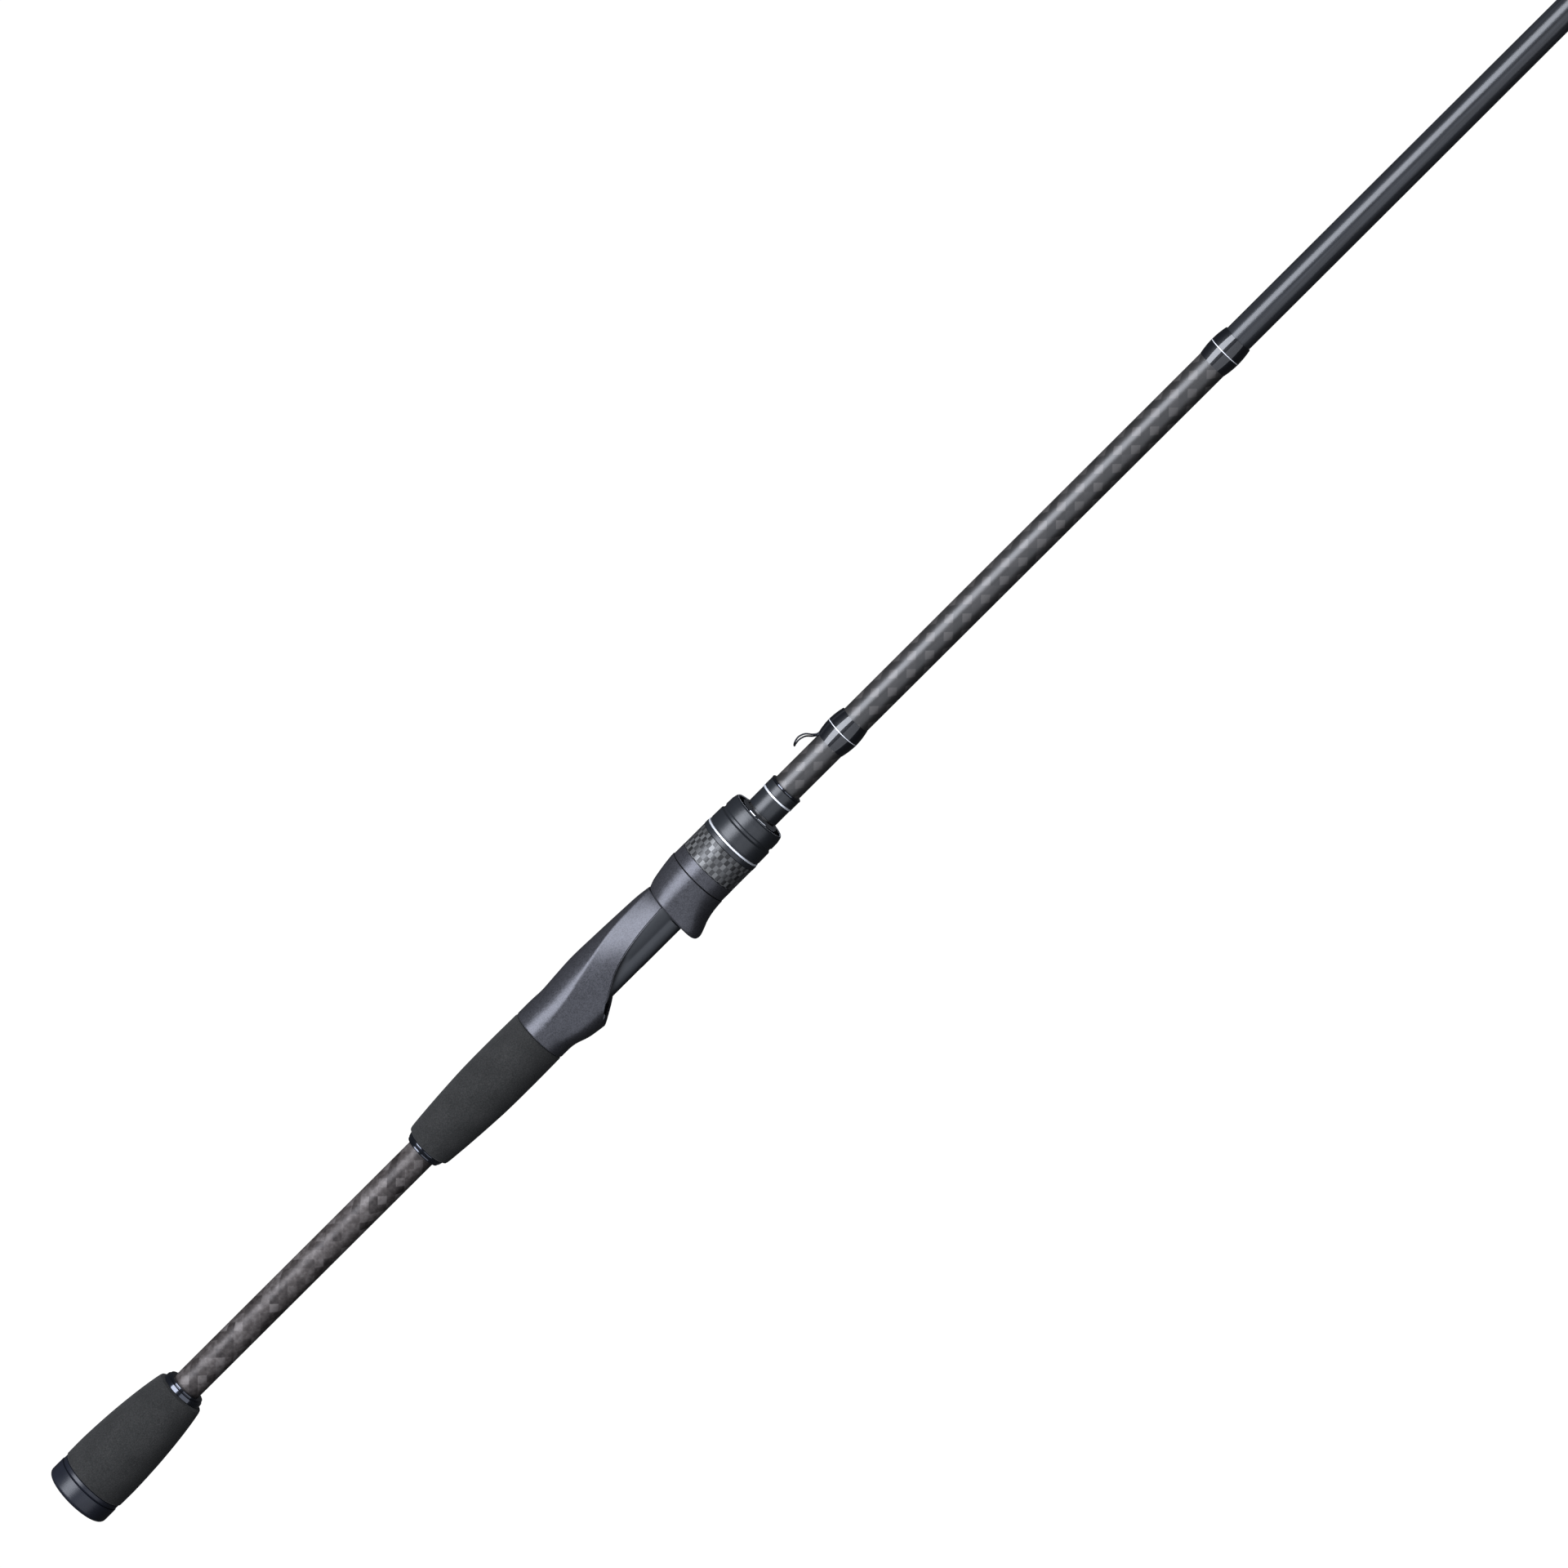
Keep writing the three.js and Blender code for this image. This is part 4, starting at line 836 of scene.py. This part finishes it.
def make_keeper():
    """A loop of wire that lies under the thread, rises and folds back towards the reel."""
    seat = math.sqrt((5.95 + 0.33 + 0.08)**2 - 0.9**2)
    half = [(423, 0.9, seat), (418, 0.9, seat), (413, 0.9, seat), (410.4, 0.95, seat + 0.08),
            (408.7, 1.2, 7.5), (406.8, 1.6, 9.6), (404.4, 1.9, 10.45), (402.2, 1.615, 10.2),
            (401.2, 0.76, 9.75)]
    path = spline([*half, *[(x, -y, z) for x, y, z in reversed(half)]], 160)
    tilt = math.radians(14)
    y = path[:, 1] * math.cos(tilt) - path[:, 2] * math.sin(tilt)
    z = path[:, 1] * math.sin(tilt) + path[:, 2] * math.cos(tilt)
    path = np.stack([path[:, 0], y, z], 1)
    piece("hook_keeper_wire", ["hook_keeper"], "rod", [GUIDE_STEEL],
          [(closed_wire(path, 0.33, (0, -math.sin(tilt), math.cos(tilt))), False, True, 0)])


def wrapped(x, r, bump_height, towards, half_angle):
    """A turned coat that rises over what lies under it in one direction, by a smooth step: all of
    the height out to the half angle, and none of it at 2.2 half angles."""
    points = turned(np.stack([x, r], 1))
    y, z = points[..., 1], points[..., 2]
    radius = np.hypot(y, z)
    facing = (math.cos(towards) * z - math.sin(towards) * y) / radius
    away = np.arccos(np.clip(facing, -1, 1))
    lift = np.broadcast_to(np.asarray(bump_height, float).reshape(-1, 1), radius.shape)
    scale = 1 + lift * (1 - smoothstep(away, half_angle, half_angle * 2.2)) / radius
    return np.stack([points[..., 0], y * scale, z * scale], -1)


def coat(start, end, edge, crown):
    """Radius of a wrap's epoxy: highest in the middle, and lower by the distance from it to the
    power 1.9, so that it runs out thin and round at its ends."""
    x = mix(start, end, (1 - np.cos(np.linspace(0, math.pi, 61))) / 2)
    away = np.minimum(np.abs(x - (start + end) / 2) / ((end - start) / 2), 1)
    return x, edge + (crown - edge) * (1 - away**1.9)


def make_wrap(name, nodes, band_name, start, end, edge, crown, band, inner, lift, towards):
    """The wrap is a coat over the thread. The bright thread sits in it at its middle, 0.02 mm proud."""
    x, r = coat(start, end, edge, crown)
    rise = lift * smoothstep(x, start - 1, start + 1) if lift else 0 * x
    loop_x = np.concatenate([x, x[::-1]])
    loop_r = np.concatenate([r, np.interp(x[::-1], *inner)])
    loop_rise = np.concatenate([rise, rise[::-1]])
    piece(name, nodes[:1], "rod", [WRAP],
          [(wrapped(loop_x, loop_r, loop_rise, towards, math.radians(10)), True, True, 0)])
    line = np.linspace(0, TURN, 12, endpoint=False)
    line_x = band + 0.25 + 0.21 * np.cos(line)
    line_r = np.interp(line_x, x, r) + 0.02 - 0.1 + 0.12 * np.sin(line)
    piece(band_name, nodes[1:], "rod", [SILVER_THREAD],
          [(wrapped(line_x, line_r, np.full(12, lift), towards, math.radians(10)), True, True, 0)])


def make_wraps():
    """The wrap over the keeper's feet, and the one where the fore sleeve ends."""
    make_wrap("keeper_thread_wrap", ["keeper_wrap", "keeper_wrap_band"], "keeper_bright_thread",
              410.6, 424.0, 6.1, 6.95, 417.1, ([410, 425], [6.04, 6.04]), 0.42, math.radians(14))
    make_wrap("upper_thread_wrap", ["upper_wrap", "upper_wrap_band"], "upper_bright_thread",
              612, 625.4, 6.15, 6.84, 618.4, ([611, 618.1, 618.2, 626], [6.12, 6.12, 5.78, 5.78]), 0.0, 0.0)


GUIDES = [  # x, ceramic's outer radius, its hole, height of its centre off the blank, foot, feet
    (850, 11.6, 10.0, 27, 15, 2), (1100, 7.5, 6.2, 17.5, 12, 2), (1310, 4.8, 3.75, 11.5, 10, 1),
    (1485, 3.5, 2.6, 8, 8, 1), (1635, 3.0, 2.2, 6.6, 7, 1), (1765, 3.0, 2.2, 6.2, 7, 1),
    (1880, 3.0, 2.2, 5.8, 7, 1),
]
TILT = math.radians(12)


def leaned(points, x, drop):
    """A ring made about the rod's line, leaned 12 degrees and set below the blank."""
    px, py, pz = np.moveaxis(points, -1, 0)
    return np.stack([px * math.cos(TILT) - pz * math.sin(TILT) + x, py,
                     px * math.sin(TILT) + pz * math.cos(TILT) - drop], -1)


def guide_rings(ring, hole, half, x, drop):
    """The ceramic has a round throat, and the rim around it is a flat band with rounded edges."""
    throat = np.linspace(-math.pi / 2, math.pi / 2, 9)
    size = (ring - hole) * 0.75
    inner = np.stack([half * np.sin(throat), hole + size * (1 - np.cos(throat))], 1)
    ceramic = np.concatenate([inner, [(half, ring - 0.12), (half - 0.12, ring), (0.12 - half, ring),
                                      (-half, ring - 0.12)]])
    rim = ring + 0.06
    wide = rim + max(0.55, ring * 0.08)
    band = half - 0.2
    frame_rim = outline((-band, rim), (-band, wide, 0.2), (band, wide, 0.2), (band, rim))
    return leaned(turned(ceramic, 72), x, drop), leaned(turned(frame_rim, 72), x, drop)


def foot_plate(start, end, width, level):
    """A foot ground thin towards its end: width and thickness taper along it."""
    t = np.linspace(0, 1, 14)[:, None]
    across = np.linspace(0, TURN, 16, endpoint=False)[None, :]
    half = mix(width / 2, width / 5, t**1.3)
    thick = mix(0.27, 0.08, t)
    x = mix(start, end, t) + 0 * across
    y = half * np.cos(across)
    z = level - thick * (1 + np.sin(across) * 0.98)
    y[[0, -1]] = 0
    z[[0, -1]] = z[[0, -1]].mean(axis=1, keepdims=True)
    return np.stack([x, y, z], -1)


def make_guide(number, x, ring, hole, height, foot, feet):
    """A ring leaned towards the tip on two bent legs, with a third leg in front if it has two feet,
    and a wrap over each foot."""
    surface = float(blank_radius(x))
    drop, level = surface + height, -surface - 0.08
    bar = min(0.65, 0.3 + ring * 0.035)
    width = min(2.6, 0.9 + surface * 0.35)
    flank, reach = ring + bar + 0.12, height * 0.62
    ceramic, rim = guide_rings(ring, hole, bar + 0.4, x, drop)
    rear_foot = foot_plate(x - reach + 0.6, x - reach - foot, width, level)
    surfaces = [(rim, True, True, 0), (rear_foot, False, True, 0)]
    for side in (1, -1):
        leg = spline([(x - reach - 1.2, side * width * 0.2, level - bar * 0.8),
                      (x - reach, side * width * 0.22, level - bar),
                      (x - reach * 0.62, side * flank * 0.6, level - height * 0.4),
                      (x - reach * 0.28, side * flank, level - height * 0.78),
                      (x, side * flank, -drop)], 40)
        surfaces.append((closed_wire(leg, bar, (0, 1, 0)), False, True, 0))
    if feet == 2:
        front_foot = foot_plate(x + reach - 0.6, x + reach + foot, width, level)
        surfaces.append((front_foot, False, True, 0))
        leg = spline([(x + reach + 1.0, 0, level - bar * 0.8), (x + reach, 0, level - bar),
                      (x + reach * 0.5, 0, level - (height - ring) * 0.4),
                      (x - math.tan(TILT) * flank * 0.95, 0, -drop + flank - 0.35)], 30)
        surfaces.append((closed_wire(leg, bar, (0, 1, 0)), False, True, 0))
    piece(f"guide_{number}_wire_frame", [f"guide_{number}_frame"], "rod",
          [GUIDE_STEEL], surfaces)
    piece(f"guide_{number}_ceramic", [f"guide_{number}_ring"], "rod", [CERAMIC],
          [(ceramic, True, True, 0)])
    ends = [(x - reach - foot - 1.2, x - reach - 1.6, "_rear" if feet == 2 else "")]
    if feet == 2:
        ends.append((x + reach + 1.6, x + reach + foot + 1.2, "_front"))
    for start, end, tail in ends:
        px, pr = coat(start, end, 0, 1)
        thin = 0.16 + 0.03 * surface
        r = blank_radius(px) + 0.08 + thin * pr**0.5
        inner = blank_radius(px) + 0.05
        loop_x, loop_r = np.concatenate([px, px[::-1]]), np.concatenate([r, inner[::-1]])
        wrap = wrapped(loop_x, loop_r, np.full(len(loop_x), 0.85), math.pi, 0.42)
        piece(f"guide_{number}_thread_wrap{tail}", [f"guide_{number}_wrap{tail}"], "rod",
              [WRAP], [(wrap, True, True, 0)])


def make_tip_top():
    """A tube capped over the blank's end, with a small ring held on three wires below it."""
    inner = float(blank_radius(1966)) + 0.1
    tube = turned(outline((1966, inner), (1966, inner + 0.45, 0.15), (1976.3, inner + 0.45, 0.3),
                          (1976.3, 0), (1975.8, 0), (1975.8, inner)), 48)
    ceramic, rim = guide_rings(2.7, 1.9, 0.75, 1978.9, 3.6)
    flank = 2.7 + 0.4 + 0.12
    surfaces = [(tube, True, True, 0), (rim, True, True, 0)]
    for side in (1, -1):
        leg = spline([(1970.3, side * 1.35, -0.95), (1975.3, side * flank * 0.85, -1.9),
                      (1977.7, side * flank, -3.2), (1978.9, side * flank, -3.6)], 24)
        surfaces.append((closed_wire(leg, 0.4, (0, 1, 0.2)), False, True, 0))
    neck = spline([(1976.1, 0, -0.6), (1977.2, 0, -0.5), (1978.2, 0, -3.6 + flank)], 12)
    surfaces.append((closed_wire(neck, 0.4, (0, 1, 0)), False, True, 0))
    piece("tip_top_wire_frame", ["tip_top_frame"], "rod", [GUIDE_STEEL], surfaces)
    piece("tip_top_ceramic", ["tip_top_ring"], "rod", [CERAMIC],
          [(ceramic, True, True, 0)])
    x, r = coat(1960, 1965.9, 0, 1)
    under = blank_radius(x)
    over = under + 0.1 + 0.28 * r**0.5
    loop = np.concatenate([np.stack([x, over], 1), np.stack([x, under + 0.05], 1)[::-1]])
    round_piece("tip_top_thread_wrap", "tip_top_wrap", "rod", WRAP, loop, 48)


def finish_hidden_nodes():
    """CAD pieces that stay as they are, inside the seat: both arbors and the clip ring."""
    for name, look in (("rear_arbor", INNER_NYLON), ("front_arbor", INNER_NYLON),
                       ("hood_clip_ring", BRIGHT)):
        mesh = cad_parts[name].data
        mesh.materials.clear()
        mesh.materials.append(look)


# ---- studio -------------------------------------------------------------------------------
DAYLIGHT = "#e8edf8"


def panel(name, angle, distance, length, width, radiance, centre_x):
    """A soft box along the rod, angle degrees up from the front. Its power comes from how bright
    its face should look: power = radiance x area x pi."""
    light = bpy.data.lights.new(name, "AREA")
    light.shape = "RECTANGLE"
    light.size, light.size_y = length, width
    light.energy = radiance * length * width * math.pi
    light.color = colour(DAYLIGHT)[:3]
    lamp = bpy.data.objects.new(name, light)
    a = math.radians(angle)
    lamp.location = (centre_x, -distance * math.cos(a), distance * math.sin(a))
    along, away = Vector((1, 0, 0)), Vector((0, -math.cos(a), math.sin(a)))
    lamp.rotation_euler = Matrix((along, away.cross(along), away)).transposed().to_euler()
    bpy.context.scene.collection.objects.link(lamp)


def make_studio():
    """White floor and white surroundings for the camera; for reflections only the soft boxes and a
    dim room, so that dark gloss keeps dark edges."""
    scene = bpy.context.scene
    scene.view_settings.view_transform = "Standard"
    scene.view_settings.look = "None"
    world = bpy.data.worlds.new("studio_room")
    scene.world = world
    world.use_nodes = True
    tree = world.node_tree
    path = add(tree, "LightPath")
    dim = add(tree, "Mix", {"Factor": path.outputs["Is Glossy Ray"], "A": 0.34,
                            "B": 0.045}).outputs["Result"]
    bright = add(tree, "Mix", {"Factor": path.outputs["Is Camera Ray"], "A": dim, "B": 1.05})
    tree.links.new(bright.outputs["Result"], tree.nodes["Background"].inputs["Strength"])
    tint = add(tree, "Mix", {"Factor": path.outputs["Is Camera Ray"], "A": colour(DAYLIGHT),
                             "B": (1, 1, 1, 1)}, data_type="RGBA")
    tree.links.new(tint.outputs["Result"], tree.nodes["Background"].inputs["Color"])
    floor_mesh = bpy.data.meshes.new("studio_floor")
    floor_mesh.from_pydata([(-30, -30, -0.35), (30, -30, -0.35), (30, 30, -0.35), (-30, 30, -0.35)], [],
                           [(0, 1, 2, 3)])
    made, _, shader = finish("white_paper_floor", Base_Color=colour("#f2f2f2"), Roughness=0.9,
                             Emission_Color=(1, 1, 1, 1), Emission_Strength=1.0)
    floor_mesh.materials.append(made)
    floor = bpy.data.objects.new("studio_floor", floor_mesh)
    floor.visible_glossy = False
    floor.visible_diffuse = False
    scene.collection.objects.link(floor)
    panel("upper_soft_box", 36, 1.6, 2.2, 1.12, 10.0, 0.15)
    panel("lower_soft_box", -34, 1.6, 2.2, 1.7, 1.45, 0.15)


def make_camera():
    """Level with the rod and 3.1 m away, beyond its tip side, rolled so that the rod climbs to the
    upper right."""
    camera = bpy.data.objects.new("camera", bpy.data.cameras.new("camera"))
    eye, aim = Vector((0.8917, -3.111, 0.00195)), Vector((0.3877, 0, 0.00195))
    ahead = (aim - eye).normalized()
    level = ahead.cross(Vector((0, 0, 1))).normalized()
    upright = level.cross(ahead)
    roll = math.radians(44.91)
    right = math.cos(roll) * level - math.sin(roll) * upright
    up = math.sin(roll) * level + math.cos(roll) * upright
    camera.matrix_world = Matrix.Translation(eye) @ Matrix((right, up, -ahead)).transposed().to_4x4()
    camera.data.lens = 193.7
    camera.data.sensor_width = 36
    camera.data.clip_end = 200
    bpy.context.scene.collection.objects.link(camera)
    bpy.context.scene.camera = camera


make_butt()
make_grips()
make_checks()
make_tubes()
make_seat()
make_fixed_liner()
make_hood()
make_moving_liner()
make_nut()
make_trim()
make_keeper()
make_wraps()
for index, guide in enumerate(GUIDES):
    make_guide(index + 1, *guide)
make_tip_top()
finish_hidden_nodes()
make_studio()
make_camera()
